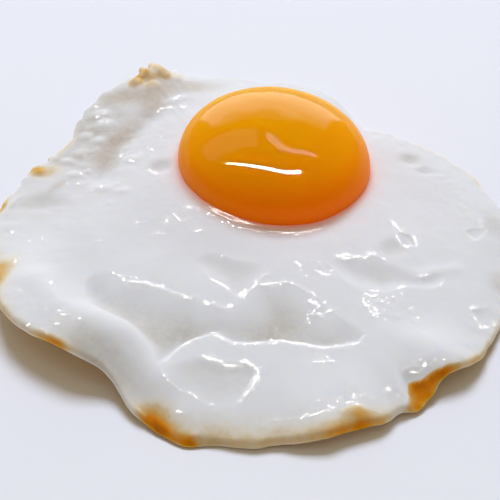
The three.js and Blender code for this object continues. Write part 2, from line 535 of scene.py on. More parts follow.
# The long low valley across the front, under the crest of the thick white round the yolk.
VALLEY = Basin(
    1.6,
    (
        Side(
            8.5,
            (
                (-29.9, -16.5), (-27.3, -17.1), (-24.7, -19.9), (-21.2, -20.2), (-17.7, -21.9),
                (-14.2, -23.5), (-10.8, -24.1), (-7.1, -26.3), (-4.4, -27.3), (-2.1, -25.7),
                (-0.3, -22.4), (1.4, -20.2), (7.1, -19.9), (9.6, -21.3), (12.3, -23.5),
                (14.5, -26.3), (16.3, -28.7),
            ),
        ),
        Side(5.0, ((16.3, -28.7), (19.2, -31.1), (21.8, -33.6))),
        Side(
            1.6,
            (
                (21.8, -33.6), (20.1, -35.9), (17.6, -36.7), (14, -37.2), (9.2, -36.4),
                (5.5, -35.7), (0.8, -36.2), (-3.5, -35.9), (-6.4, -33.6), (-8.8, -34.4),
                (-11.4, -35.7), (-13.9, -38), (-15.8, -41.4),
            ),
        ),
        Side(
            3.0,
            (
                (-15.8, -41.4), (-17.2, -42.5), (-18.7, -38.8), (-21.1, -35.8), (-24.3, -32.9),
                (-28.7, -30.6), (-31.3, -27.8),
            ),
        ),
        Side(3.5, ((-31.3, -27.8), (-32.7, -23.3), (-32.5, -18.8), (-29.9, -16.5))),
    ),
)
RIGHT_HOLLOW = Basin(
    1.0,
    (
        Side(
            5.0,
            (
                (15.8, -14.7), (17.1, -13.3), (19.1, -12.5), (22.9, -13), (24.6, -12.2),
                (27.4, -14.2), (30.1, -15.9), (33.6, -17.1), (39.2, -16.4),
            ),
        ),
        Side(
            5.0,
            (
                (39.2, -16.4), (38.5, -18.9), (36.7, -21.1), (34.7, -21.7), (30.8, -21.4),
                (26, -23.1), (21.7, -22.2),
            ),
        ),
        Side(5.0, ((21.7, -22.2), (19.5, -20.6), (17.3, -18), (15.8, -14.7))),
    ),
)
DISH = Basin(
    0.6,
    (
        Side(
            2.5,
            (
                (-15.6, -42.9), (-12.2, -40.4), (-8.9, -39.2), (-5.7, -40.9), (-0.5, -40.4),
                (1, -41.9),
            ),
        ),
        Side(2.0, ((1, -41.9), (1.3, -44.1), (0, -47), (-1.4, -49.1), (-3.4, -50.5))),
        Side(
            4.5,
            (
                (-3.4, -50.5), (-6.4, -51), (-9.5, -49.3), (-12.1, -47.7), (-14.3, -46),
                (-16.4, -43.9), (-15.6, -42.9),
            ),
        ),
    ),
)
POCKET = Basin(
    0.45,
    (
        Side(3.0, ((-11.8, -13.8), (-9.2, -11.8), (-5.8, -12.1), (-3, -13.5), (2.6, -15))),
        Side(4.0, ((2.6, -15), (2.2, -17.9), (0.6, -20.4), (-0.9, -23.5), (-2.5, -24.8))),
        Side(
            3.5, ((-2.5, -24.8), (-4.4, -22.6), (-6.4, -20.4), (-8.4, -18.4), (-11.8, -13.8))
        ),
    ),
)
SMALL_POOLS = (
    Basin(
        0.5,
        (
            Side(
                0.8,
                (
                    (29.4, -2.7), (30.9, -4.5), (32.7, -5.4), (33.5, -7.3), (33.8, -9.1),
                    (31.9, -9.4), (30.8, -8.8), (30.3, -6.6), (29.4, -2.7),
                ),
            ),
        ),
    ),
    Basin(
        0.8,
        (
            Side(
                1.5,
                (
                    (42, -27.1), (44.2, -26.3), (46.3, -25.2), (47.4, -27.1), (47.2, -29.5),
                    (45.4, -31.4), (43.9, -31.6), (43.1, -30.1), (42, -27.1),
                ),
            ),
        ),
    ),
    Basin(
        0.5,
        (
            Side(
                0.8,
                (
                    (43.8, -4.2), (46.3, -3), (49.3, -3.3), (48, -5.5), (45.9, -7), (43.8, -4.2),
                ),
            ),
        ),
    ),
)

# Crisp wrinkles along the crests and edges of the basins.
CREST_LINES: tuple[tuple[Point, ...], ...] = (
    (
        (-27.3, -17.1), (-26.2, -18.5), (-24.7, -19.9), (-21.2, -20.2), (-19.4, -21),
        (-15.8, -22.4), (-12.4, -24.4), (-10.8, -24.1), (-8.9, -25.5), (-4.8, -27.3), (-3.6, -26.3),
    ),
    (
        (0.2, -21.9), (0.8, -20.2), (2.6, -20.5), (7.1, -19.9), (9.3, -20.8), (12.3, -23.5),
        (11.7, -25.2), (13.4, -26.3),
    ),
    ((14.6, -25.3), (13, -26.3), (11.7, -28.2), (13.6, -28.8), (15.6, -27.7), (17.2, -26.9)),
    (
        (-15.8, -41.1), (-14.1, -38.1), (-11.4, -35.6), (-9.6, -34.8), (-7.3, -33.8), (-5.8, -34.3),
        (-4.5, -35.9), (-2, -36.6), (5.5, -35.9), (8.3, -36.4), (11.2, -37.4), (16.5, -37.4),
        (18.4, -36.4), (20.5, -36.1), (20.8, -34.3),
    ),
    (
        (16.7, -13.3), (18.3, -12.5), (22.9, -13), (24.6, -11.9), (25.9, -13), (27.4, -14.2),
    ),
    (
        (-8.9, -39.4), (-7.2, -39.7), (-5.7, -41.2), (-4.2, -41.7), (-0.9, -40.7), (0.6, -41.9),
        (1.3, -43.1), (0.9, -45.1), (0, -47), (-1.1, -48.9), (-2.5, -50.3),
    ),
    (
        (28.9, -1.4), (30.9, -4.5), (32.7, -5.4), (33.5, -7.3), (33.8, -9.1), (31.9, -9.4),
        (30.8, -8.8), (30.3, -6.6), (29.9, -4.8), (30.9, -4.5),
    ),
    ((42, -27.1), (44.2, -26.3), (46.3, -25.2)),
    ((42.6, -28.2), (43.1, -30.3), (43.9, -31.6), (45.5, -31.1), (47.2, -29.5)),
    ((-36.3, -32.4), (-34.9, -32.6), (-33.3, -33.7), (-31.4, -34.4)),
)
# Shorter and lower wrinkles in the skin.
FINE_LINES: tuple[tuple[Point, ...], ...] = (
    ((-2.7, -24.6), (-4.4, -22.6), (-6, -20.4), (-8, -19), (-9.5, -17.3)),
    ((-6.8, -12.4), (-5.2, -12.7), (-3.8, -13.8), (0.2, -14.4)),
    ((-2.1, -22.7), (-0.7, -25.5)),
    ((0.2, -21.9), (1.4, -19.4), (3.4, -17.7)),
    ((8.3, -35.9), (11.2, -37.1), (13.2, -39.1), (15.2, -40.9)),
    ((11.3, -40.9), (15, -40.9)),
    ((23.6, -22.8), (26, -22.8)),
    ((28.4, -21.7), (30.3, -20.8)),
    ((35.1, -21.7), (36.7, -21.1), (38.5, -19.2)),
    ((32.9, -18.3), (34.3, -18), (35.9, -17.5)),
    ((21.2, -24.4), (22.6, -27.1), (24.3, -29.8)),
    ((22, -23.9), (23.7, -26.9), (25.8, -30.1)),
    ((22.8, -23.1), (25, -25.3), (27.4, -24.2), (29.9, -23.1)),
    ((23.2, -28.5), (24.5, -32.2)),
    ((25.7, -26.9), (26.3, -29)),
    ((8.6, -14.1), (10.4, -15.3)),
    ((11.5, -13.5), (12.6, -14.4), (13.8, -14.1)),
    ((12.6, -16.4), (14.5, -17.6), (16.4, -18.4)),
    ((-16.4, -43.9), (-14.3, -46.3), (-11.9, -47.9), (-9.5, -48.9)),
    ((-7.9, -50.5), (-6.1, -50.7)),
    ((23.9, -48.2), (24.9, -46.8), (27.3, -46.1), (27.8, -47.3)),
    ((27.7, -45.2), (28.8, -43.5), (30.7, -43.1), (32.6, -42.6)),
    ((30.9, -41.1), (31.9, -42.1), (33.1, -41.3)),
    ((1.4, -54.8), (3.8, -53.9), (8.4, -53.9), (9.6, -55.2)),
    ((8.4, -53.2), (10.9, -53.9), (13.4, -52.9), (17, -52.3)),
    ((17.6, -49.8), (18.2, -48.9), (20.8, -49.1)),
    ((18.2, -50.2), (19.2, -51.3), (20.2, -51.8)),
    ((-45.1, -25.8), (-43.3, -27.5), (-41.5, -29.3)),
    ((-39, -36.3), (-37.9, -37.4), (-37.8, -38.6)),
    ((-39.7, -19.1), (-37.8, -19.6)),
    ((-40, -22.7), (-39, -23.5), (-37.7, -24.3)),
    ((-24.9, -3.7), (-23.7, -2.8), (-21.9, -2.5)),
    ((-20.8, -7.1), (-19.4, -6.2), (-17.5, -6.2)),
    ((-32.1, -8.6), (-30.1, -8)),
    ((-15, 1.3), (-12.7, 1), (-10.7, -0.3)),
    ((-16.3, -0.9), (-14.4, -2.5), (-12.3, -2.8)),
    ((-13.5, -4.9), (-11.4, -5.8), (-9.6, -5.5)),
    ((-22, 27.1), (-20.9, 27.1), (-19.7, 26)),
    ((-23.4, 23.5), (-22.1, 21.7), (-21, 21)),
    ((43.8, -2.7), (44.2, -5.8)),
    ((44.9, -4.2), (47, -3.3), (49, -3.9)),
    ((44.9, -7.3), (47.1, -7.3)),
)

# Short blunt lumps of the skin, on which the water film stands up.
BEADS: tuple[tuple[Point, Point], ...] = (
    ((-29.1, 22.9), (-28.9, 20.9)),
    ((-29.3, 16.6), (-28.7, 14.8)),
    ((-24.8, 29.0), (-23.7, 28.7)),
    ((-22.6, 14.5), (-21.4, 13.5)),
    ((-21.4, 13.5), (-20.0, 11.8)),
    ((-21.0, 37.3), (-19.4, 38.1)),
    ((-19.4, 38.1), (-18.0, 37.7)),
    ((-17.4, 40.0), (-16.3, 42.0)),
    ((-35.9, 41.2), (-35.5, 39.2)),
    ((-35.7, 36.8), (-35.1, 35.4)),
    ((-34.0, 38.5), (-33.4, 37.3)),
    ((-37.9, 32.8), (-37.1, 32.0)),
    ((-39.9, 23.6), (-39.1, 22.9)),
    ((-30.5, 4.9), (-29.6, 4.2)),
    ((-15.4, 13.8), (-14.7, 13.1)),
    ((-20.7, -50.9), (-19.9, -51.3)),
    ((-13.3, -51.6), (-12.5, -52.0)),
    ((-10.2, -55.6), (-9.9, -56.2)),
    ((-50.0, -4.0), (-48.5, -4.9)),
    ((-36.6, -36.0), (-35.3, -36.0)),
    ((36.0, 17.0), (37.2, 18.0)),
    ((41.4, 14.9), (42.3, 13.5)),
    ((44.4, 15.9), (45.1, 14.9)),
    ((0.9, -42.4), (1.4, -44.0)),
    ((0.9, -44.8), (0.3, -46.4)),
    ((-0.3, -47.2), (-1.2, -48.8)),
    ((-8.2, -39.9), (-6.9, -40.4)),
    ((17.9, -12.9), (20.6, -13.0)),
    ((22.6, -13.3), (24.4, -12.4)),
)

# The round lobes of the fried horn at the back left, and the milky lumps in front of it.
HORN_LOBES = rows(
    Patch,
    (-27.2, 48.2, 1.4, 1.3, 0, 1.2), (-26.0, 50.8, 1.3, 1.5, 0, 1.2),
    (-22.8, 51.8, 2.3, 2.8, 0, 1.5), (-20.4, 50.2, 1.3, 1.6, 0, 1.0),
    (-23.2, 46.6, 1.5, 1.2, 0, 0.6), (-17.7, 49.6, 1.8, 1.3, 0, 0.5),
)
LUMPS = rows(
    Patch,
    (-34.7, 37.3, 2.0, 1.6, 0, 0.6), (-33.5, 33.2, 2.4, 2.0, 0, 0.7),
    (-37.8, 29.5, 1.6, 1.5, 0, 0.5), (-34.4, 27.6, 1.6, 1.3, 0, 0.5),
    (-37.9, 23.5, 1.7, 1.4, 0, 0.5), (-40.9, 20.7, 1.4, 1.2, 0, 0.4),
    (-38.4, 15.5, 1.6, 1.2, 0, 0.4), (-26.4, 20.0, 1.8, 1.3, 0, 0.4),
    (-17.6, 40.6, 3.0, 1.3, 20, 0.4), (-32.0, 10.0, 2.0, 1.4, 0, 0.4),
    (-27.6, 8.5, 1.6, 1.2, 0, 0.35),
)


@dataclass(frozen=True)
class AlbumenForm:
    """The set white: its outline, its lifted underside, its thickness and the relief of its top."""

    yolk: YolkForm
    radius: float = 54.3
    body: float = 4.7  # thickness well inside the rim
    rim: float = 1.5  # thickness at the rim
    rim_run: float = 8.0
    collar: float = 1.4  # more thickness round the yolk
    collar_run: float = 9.0
    low_bearing: float = -25.0  # the way the yolk leans down
    low_collar: float = 1.2  # the share of the collar that is missing there
    low_meniscus: float = 0.5  # the same of the meniscus
    resting_rim: float = 0.3  # how high the lowest rim stays off the table
    lift_run: float = 19.0
    meniscus: float = 1.25  # how far the white climbs up the yolk
    meniscus_run: float = 1.05
    skirt_thickness: float = 0.5
    hang: float = 0.4  # the share of its lift by which a skirt hangs down
    crinkle: float = 0.15  # unevenness beside the rim
    crinkle_reach: float = 4.5
    crinkle_pitch: float = 3.4
    roughness: float = 0.18  # raggedness of the outline away from the ragged stretches
    rough_pitch: float = 4.2
    swell: float = 0.13  # soft unevenness of the whole top
    swell_pitch: float = 9.0
    grain: float = 0.02
    grain_pitch: float = 2.2
    blister_pitches: tuple[float, float] = (4.4, 2.6)
    around: int = 700
    seat_rings: int = 4
    top_rings: int = 112
    rim_rings: int = 9
    under_rings: int = 13
    lobes: tuple[RimBump, ...] = rows(
        RimBump,
        (20, 16, -2.8), (46, 17, -9.0), (54, 6, -3.9), (64, 8, -2.5), (84, 12, -2.3),
        (118, 12, 5.0), (131, 8, 1.9), (119.6, 0.8, 0.8), (158.4, 1.3, 0.9), (155.4, 1.1, -0.5),
        (153.0, 0.7, 0.8), (115.6, 0.9, 3.4), (113.2, 1.1, 3.8), (111.6, 1.1, 3.6),
        (108.6, 1.2, 1.6), (149, 11, -4.7), (166, 7, -1.4), (196, 9, -1.2), (213, 14, 1.8),
        (226, 7, -1.0), (238, 7, -3.1), (249, 5, 1.3), (258, 6, 3.9), (269, 6, 2.8),
        (280.5, 6, 1.9), (295, 20, 4.0), (298, 2.5, -1.2), (307, 6.5, -1.6), (309.5, 3.8, -1.2),
        (312, 12, 2.5), (330, 12, 1.6), (348, 8, -1.0),
    )
    lifts: tuple[RimBump, ...] = rows(
        RimBump,
        (215, 23, 6.2), (231.5, 9.5, 2.9), (284, 7, 1.9), (292.5, 4, 0.9), (311, 6.5, 2.8),
        (316, 17, 1.3), (114, 9, 1.6), (0, 22, 1.0),
    )
    rolls: tuple[RimBump, ...] = rows(
        RimBump,
        (282, 36, 0.6), (251, 10, -0.4), (218, 20, 0.4), (308, 6, -0.3),
    )
    ragged: tuple[RimBump, ...] = rows(
        RimBump,
        (112, 16, 0.3), (165, 30, 0.35), (315, 12, 0.25), (35, 24, 0.32), (135, 14, 0.35),
    )
    skirts: tuple[RimBump, ...] = rows(
        RimBump,
        (257, 8, 1.6), (302.4, 1.9, 3.8), (305.6, 2.6, 2.3), (310.4, 3.6, 0.6),
    )
    swells: tuple[Patch, ...] = rows(
        Patch,
        (-38, 22, 26, 17, 60, -1.7), (40, 14, 22, 14, 100, -1.2), (-23, 51, 6, 4, 0, 0.7),
        (35.4, 20.5, 2.2, 2.0, 0, -0.7), (38.1, 16.3, 1.5, 1.3, 0, -0.4),
        (-19.8, 15.1, 2.4, 2.2, 0, -0.7), (28.9, -10.0, 3.0, 2.2, 60, -0.5),
        (-44.8, 5.7, 5.0, 2.8, 0, -0.6),
    )
    folds: tuple[Fold, ...] = (
        Fold(0.2, 4.5, Line(((-24, -17), (-16, -19.5), (-8, -22)))),
        Fold(2.3, 4.2, Line(((-42, -22), (-36, -29), (-28, -33), (-21.5, -38), (-17.5, -45)))),
        Fold(-1.0, 2.6, Line(((-24, 35), (-30, 26), (-32.5, 15)))),
        Fold(0.4, 1.5, Line(((41, -15.5), (36, -17.2), (32.5, -18.5)))),
        Fold(0.2, 2.2, Line(((-16, -49), (-9, -53.5), (0, -53.5), (10, -50)))),
    )
    basins: tuple[Basin, ...] = (VALLEY, RIGHT_HOLLOW, DISH, POCKET, *SMALL_POOLS)
    wrinkles: tuple[Wrinkle, ...] = (
        *(Wrinkle(0.08, 0.55, Line(points), 0.38) for points in CREST_LINES),
        *(Wrinkle(0.03, 0.45, Line(points), 0.25) for points in FINE_LINES),
        *(Wrinkle(0.12, 0.7, Line(points), 0.6) for points in BEADS),
    )
    knobs: tuple[Patch, ...] = (
        *HORN_LOBES,
        *LUMPS,
        Patch(18.8, -52.7, 2.1, 1.5, 0, 0.7),
        Patch(-46.6, 17.0, 1.2, 1.0, 0, 0.7),
        Patch(-51.2, 5.7, 2.4, 0.7, 70, 0.4),
        Patch(-35.8, 16.5, 0.8, 0.8, 0, 0.4),
    )
    blistered: tuple[Patch, ...] = rows(
        Patch,
        (-37, 26, 24, 15, 60, 0.2), (-44, -8, 20, 6, 80, 0.15), (-40, -32, 9, 5, -40, 0.3),
        (27, -27, 6, 3.5, -50, 0.25), (20, -49, 12, 3, 10, 0.2), (46, 8, 14, 6, 100, 0.25),
    )
    noise: GradientNoise = field(default_factory=lambda: GradientNoise(5))

    def reach(self, bearing: Array) -> Array:
        """Give the outline's distance from the origin: circle, lobes and a ragged edge."""
        turn = np.radians(bearing)
        x, y = self.radius * np.cos(turn), self.radius * np.sin(turn)
        rough = self.roughness + along_rim(self.ragged, bearing)
        edge = rough * self.noise.layered(x, y, self.rough_pitch, 3)
        return self.radius + along_rim(self.lobes, bearing) + edge

    def bearing_and_inside(self, x: Array, y: Array) -> tuple[Array, Array]:
        """Give each point's bearing, and how far inside the outline it lies along that bearing."""
        bearing = np.degrees(np.arctan2(y, x))
        return bearing, np.maximum(0, self.reach(bearing) - np.hypot(x, y))

    def outside_yolk(self, x: Array, y: Array) -> Array:
        """Give how far outside the yolk's widest outline each point lies."""
        yolk = self.yolk
        away = np.hypot(x - yolk.x, (y - yolk.y) * yolk.width / yolk.depth)
        return np.maximum(0, away - yolk.width / 2)

    def low_side(self, x: Array, y: Array) -> Array:
        """Give 1 on the side to which the yolk leans down, seen from its middle, and 0 opposite."""
        turn = np.arctan2(y - self.yolk.y, x - self.yolk.x) - np.radians(self.low_bearing)
        return smoothstep(np.cos(turn), -0.3, 0.9)

    def underside(self, x: Array, y: Array) -> Array:
        """Give the underside's height: flat in the middle, lifted at the rim, hanging in skirts."""
        bearing, inside = self.bearing_and_inside(x, y)
        lift = self.resting_rim + along_rim(self.lifts, bearing)
        skirt = along_rim(self.skirts, bearing)
        hangs = self.hang * np.clip(skirt / 3, 0, 1) * (1 - smoothstep(inside, 0, skirt + 1))
        return lift * (1 - smoothstep(inside, 0, self.lift_run)) * (1 - hangs)

    def relief(self, x: Array, y: Array) -> Array:
        """Add up swells, folds, basins, large and small blisters and a soft unevenness."""
        features = (*self.swells, *self.folds, *self.basins)
        total = sum(feature.height(x, y) for feature in features)
        blistered = sum(patch.height(x, y) for patch in self.blistered)
        coarse, fine = self.blister_pitches
        skin = blisters(x, y, coarse, 21) + 0.6 * blisters(x + 7, y, fine, 22)
        total = total + blistered * skin
        total = total + self.swell * self.noise.layered(x + 9, y, self.swell_pitch, 2)
        return total + self.grain * self.noise.layered(x, y + 31, self.grain_pitch, 2)

    def top(self, x: Array, y: Array) -> Array:
        """Give the top's height: underside, thickness, wrinkles, knobs and meniscus.

        The thick white thins towards its own edge as 1 - exp(-(within / rim_run)^1.3), where within
        is how far inside that edge a point lies. Past it a thin skirt reaches the outline.

        Args:
            x: millimetres along X.
            y: millimetres along Y.

        Returns:
            The height at each point.
        """
        bearing, inside = self.bearing_and_inside(x, y)
        rim = self.rim + along_rim(self.rolls, bearing)
        skirt = along_rim(self.skirts, bearing)
        within = inside - skirt * (1 - smoothstep(inside, skirt, skirt + 4.0))
        fill = 1 - np.exp(-((np.maximum(0, within) / self.rim_run) ** 1.3))
        outside = self.outside_yolk(x, y)
        low = self.low_side(x, y)
        collar = self.collar * (1 - self.low_collar * low)
        collar = collar * np.exp(-((outside / self.collar_run) ** 2))
        thickness = rim + (self.body - rim + collar + self.relief(x, y)) * fill
        thickness = np.maximum(thickness, 0.6 * self.rim)
        crinkle = np.exp(-((inside / self.crinkle_reach) ** 2))
        crinkle = crinkle * self.noise.layered(x - 23, y, self.crinkle_pitch, 2)
        thickness = thickness + self.crinkle * crinkle
        bare = np.clip(skirt / 0.8, 0, 1) * (1 - smoothstep(within, -0.4, 0.6))
        slope = np.clip(inside / np.maximum(skirt, 0.1), 0, 1) ** 1.5
        thickness = thickness + (self.skirt_thickness + 1.3 * slope - thickness) * bare
        fine = sum(w.height(x, y, self.noise) for w in self.wrinkles)
        fine = fine + sum(knob.height(x, y) for knob in self.knobs)
        meniscus = self.meniscus * (1 - self.low_meniscus * low)
        meniscus = meniscus * np.exp(-outside / self.meniscus_run)
        return self.underside(x, y) + thickness + fine * smoothstep(inside, 0, 0.9) + meniscus

    def shell(self) -> Shell:
        """Lay rings out over the seat and the top, round the rim and in under the white.

        Each ring runs along rays from the yolk's middle to the outline. The seat is a bowl inside
        the yolk, so that the two meet with no gap.

        Returns:
            The surface, from the pole of the seat to the pole of the underside.
        """
        yolk = self.yolk
        turn = self.ray_bearings()
        edge = np.radians(turn)
        rim_x, rim_y = self.reach(turn) * np.cos(edge), self.reach(turn) * np.sin(edge)
        to_x, to_y = rim_x - yolk.x, rim_y - yolk.y
        away = np.hypot(to_x, to_y)
        contact = 0.485 * yolk.width
        start = contact / away[None, :]
        seat_share = np.linspace(0, 1, self.seat_rings + 1)[1:-1, None] * start
        rim_width = np.clip(0.45 * (self.rim + along_rim(self.rolls, turn)), 0.5, 1.6) / away
        top_share = self.crowded_shares(to_x, to_y, start[0], 1 - rim_width)
        rings = []
        seat_x, seat_y = yolk.x + to_x * seat_share, yolk.y + to_y * seat_share
        rim_z = self.top(yolk.x + to_x * start, yolk.y + to_y * start)
        bowl = 1 - np.sqrt(1 - (seat_share / start) ** 2)
        floor = 2.3
        rings.append(np.stack([seat_x, seat_y, floor + (rim_z - floor) * bowl], -1))
        top_x, top_y = yolk.x + to_x * top_share, yolk.y + to_y * top_share
        rings.append(np.stack([top_x, top_y, self.top(top_x, top_y)], -1))
        angle = np.linspace(np.pi / 2, -np.pi / 2, self.rim_rings)[1:, None]
        rim_share = 1 - rim_width + rim_width * np.cos(angle)
        x, y = yolk.x + to_x * rim_share, yolk.y + to_y * rim_share
        level = ((1 + np.sin(angle)) / 2) ** 1.7
        low, high = self.underside(x, y), self.top(x, y)
        rings.append(np.stack([x, y, low + (high - low) * level], -1))
        inward = np.linspace(1, 0, self.under_rings + 2)[1:-1, None]
        under_share = (1 - rim_width) * inward
        x, y = yolk.x + to_x * under_share, yolk.y + to_y * under_share
        rings.append(np.stack([x, y, self.underside(x, y)], -1))
        seat_pole = np.array([yolk.x, yolk.y, floor])
        under_pole = np.array([yolk.x, yolk.y, 0.0])
        return Shell(np.concatenate(rings), seat_pole, under_pole)

    def crowded_shares(self, to_x: Array, to_y: Array, start: Array, end: Array) -> Array:
        """Space the top's rings along each ray, crowding them where a wrinkle crosses it.

        The weight of a place is 1 + crowding * exp(-(distance to a wrinkle / beside)^2), and the
        rings stand at equal steps of the weight added up from the yolk to the rim.

        Args:
            to_x: millimetres along X from the yolk's middle to the outline, for each ray.
            to_y: the same along Y.
            start: the share of each ray where the top begins.
            end: the share where it ends.

        Returns:
            The shares, shaped rings by rays.
        """
        crowding, beside = 2.2, 0.9
        samples = 260
        fine = np.linspace(0, 1, samples)[:, None]
        share = start + (end - start) * fine
        x, y = self.yolk.x + to_x * share, self.yolk.y + to_y * share
        nearest = np.full(x.shape, np.inf)
        for wrinkle in self.wrinkles:
            nearest = np.minimum(nearest, wrinkle.line.measure(x, y)[0])
        weight = 1 + crowding * np.exp(-((nearest / beside) ** 2))
        added = np.cumsum((weight[1:] + weight[:-1]) / 2, axis=0)
        added = np.concatenate([np.zeros((1, x.shape[1])), added]) / added[-1]
        steps = np.linspace(0, 1, self.top_rings)
        found = [np.interp(steps, column, fine[:, 0]) for column in added.T]
        return start + (end - start) * np.stack(found, -1)

    def ray_bearings(self) -> Array:
        """Give the rays' bearings, at even steps along the smooth outline.

        They stand wider apart at the back right, where little shows, and closer at the horn.
        """
        plain_bearing, horn_bearing = 60, 114
        fine = np.linspace(0, 360, 3601)
        reach = self.radius + along_rim(self.lobes, fine)
        x, y = reach * np.cos(np.radians(fine)), reach * np.sin(np.radians(fine))
        steps = np.hypot(np.diff(x), np.diff(y))
        steps = steps * (1 - 0.35 * np.exp(-(((fine[1:] - plain_bearing) / 45) ** 2)))
        steps = steps * (1 + 1.2 * np.exp(-(((fine[1:] - horn_bearing) / 5) ** 4)))
        run = np.concatenate([[0], np.cumsum(steps)])
        return np.interp(np.linspace(0, run[-1], self.around, endpoint=False), run, fine)


# ---------------------------------------------------------------- the water film


# Where short crinkles lie: the patch, whose height is the half width of the film on them, and how
# many there are.
CRINKLES = (
    (Patch(25.5, -26.5, 7.0, 4.0, -45, 0.17), 44),
    (Patch(-27.0, 18.0, 9.0, 6.0, 60, 0.3), 16),
    (Patch(-35.0, 34.0, 9.0, 4.0, 60, 0.34), 14),
    (Patch(-19.0, 36.0, 5.0, 3.0, 30, 0.4), 5),
    (Patch(-14.0, -2.0, 5.0, 3.0, 0, 0.28), 9),
    (Patch(14.0, -51.0, 7.0, 1.2, 8, 0.3), 8),
    (Patch(8.0, -29.0, 9.0, 3.0, 0, 0.22), 7),
    (Patch(9.0, -17.5, 8.0, 1.5, 0, 0.25), 6),
    (Patch(-2.0, -22.5, 2.4, 2.4, 0, 0.3), 14),
    (Patch(0.5, -45.0, 1.2, 3.5, 0, 0.33), 12),
    (Patch(-5.0, -40.3, 5.0, 0.8, 0, 0.33), 10),
    (Patch(-24.0, -19.3, 3.5, 0.8, -10, 0.28), 10),
    (Patch(22.0, -48.5, 4.0, 2.5, 30, 0.24), 12),
    (Patch(31.0, -42.5, 4.0, 1.0, 15, 0.28), 10),
    (Patch(10.0, -37.0, 9.0, 1.0, 0, 0.24), 12),
    (Patch(40.0, 15.0, 9.0, 4.0, 120, 0.24), 9),
    (Patch(48.0, -2.0, 5.0, 3.0, 80, 0.26), 7),
    (Patch(-46.0, -14.0, 10.0, 2.5, 80, 0.28), 8),
    (Patch(-38.0, -33.0, 7.0, 3.0, -40, 0.26), 7),
    (Patch(-38.0, 12.0, 7.0, 8.0, 0, 0.26), 14),
)


@dataclass(frozen=True)
class BeadRow:
    """The beads along one line, before they stand up over the white."""

    half: float  # half width of the film
    x: Array  # millimetres, shaped along by across
    y: Array
    u: Array  # place across, from -1 to 1
    bead: Array  # for each step along, the bead it is on
    place: Array  # and its place along that bead, from -1 to 1
    middle_x: Array  # for each bead, its middle
    middle_y: Array
    turn: Array  # how its slopes along X and Y differ from the usual lean
    radius: Array  # how round its top is
    dry: Array  # whether it is missing


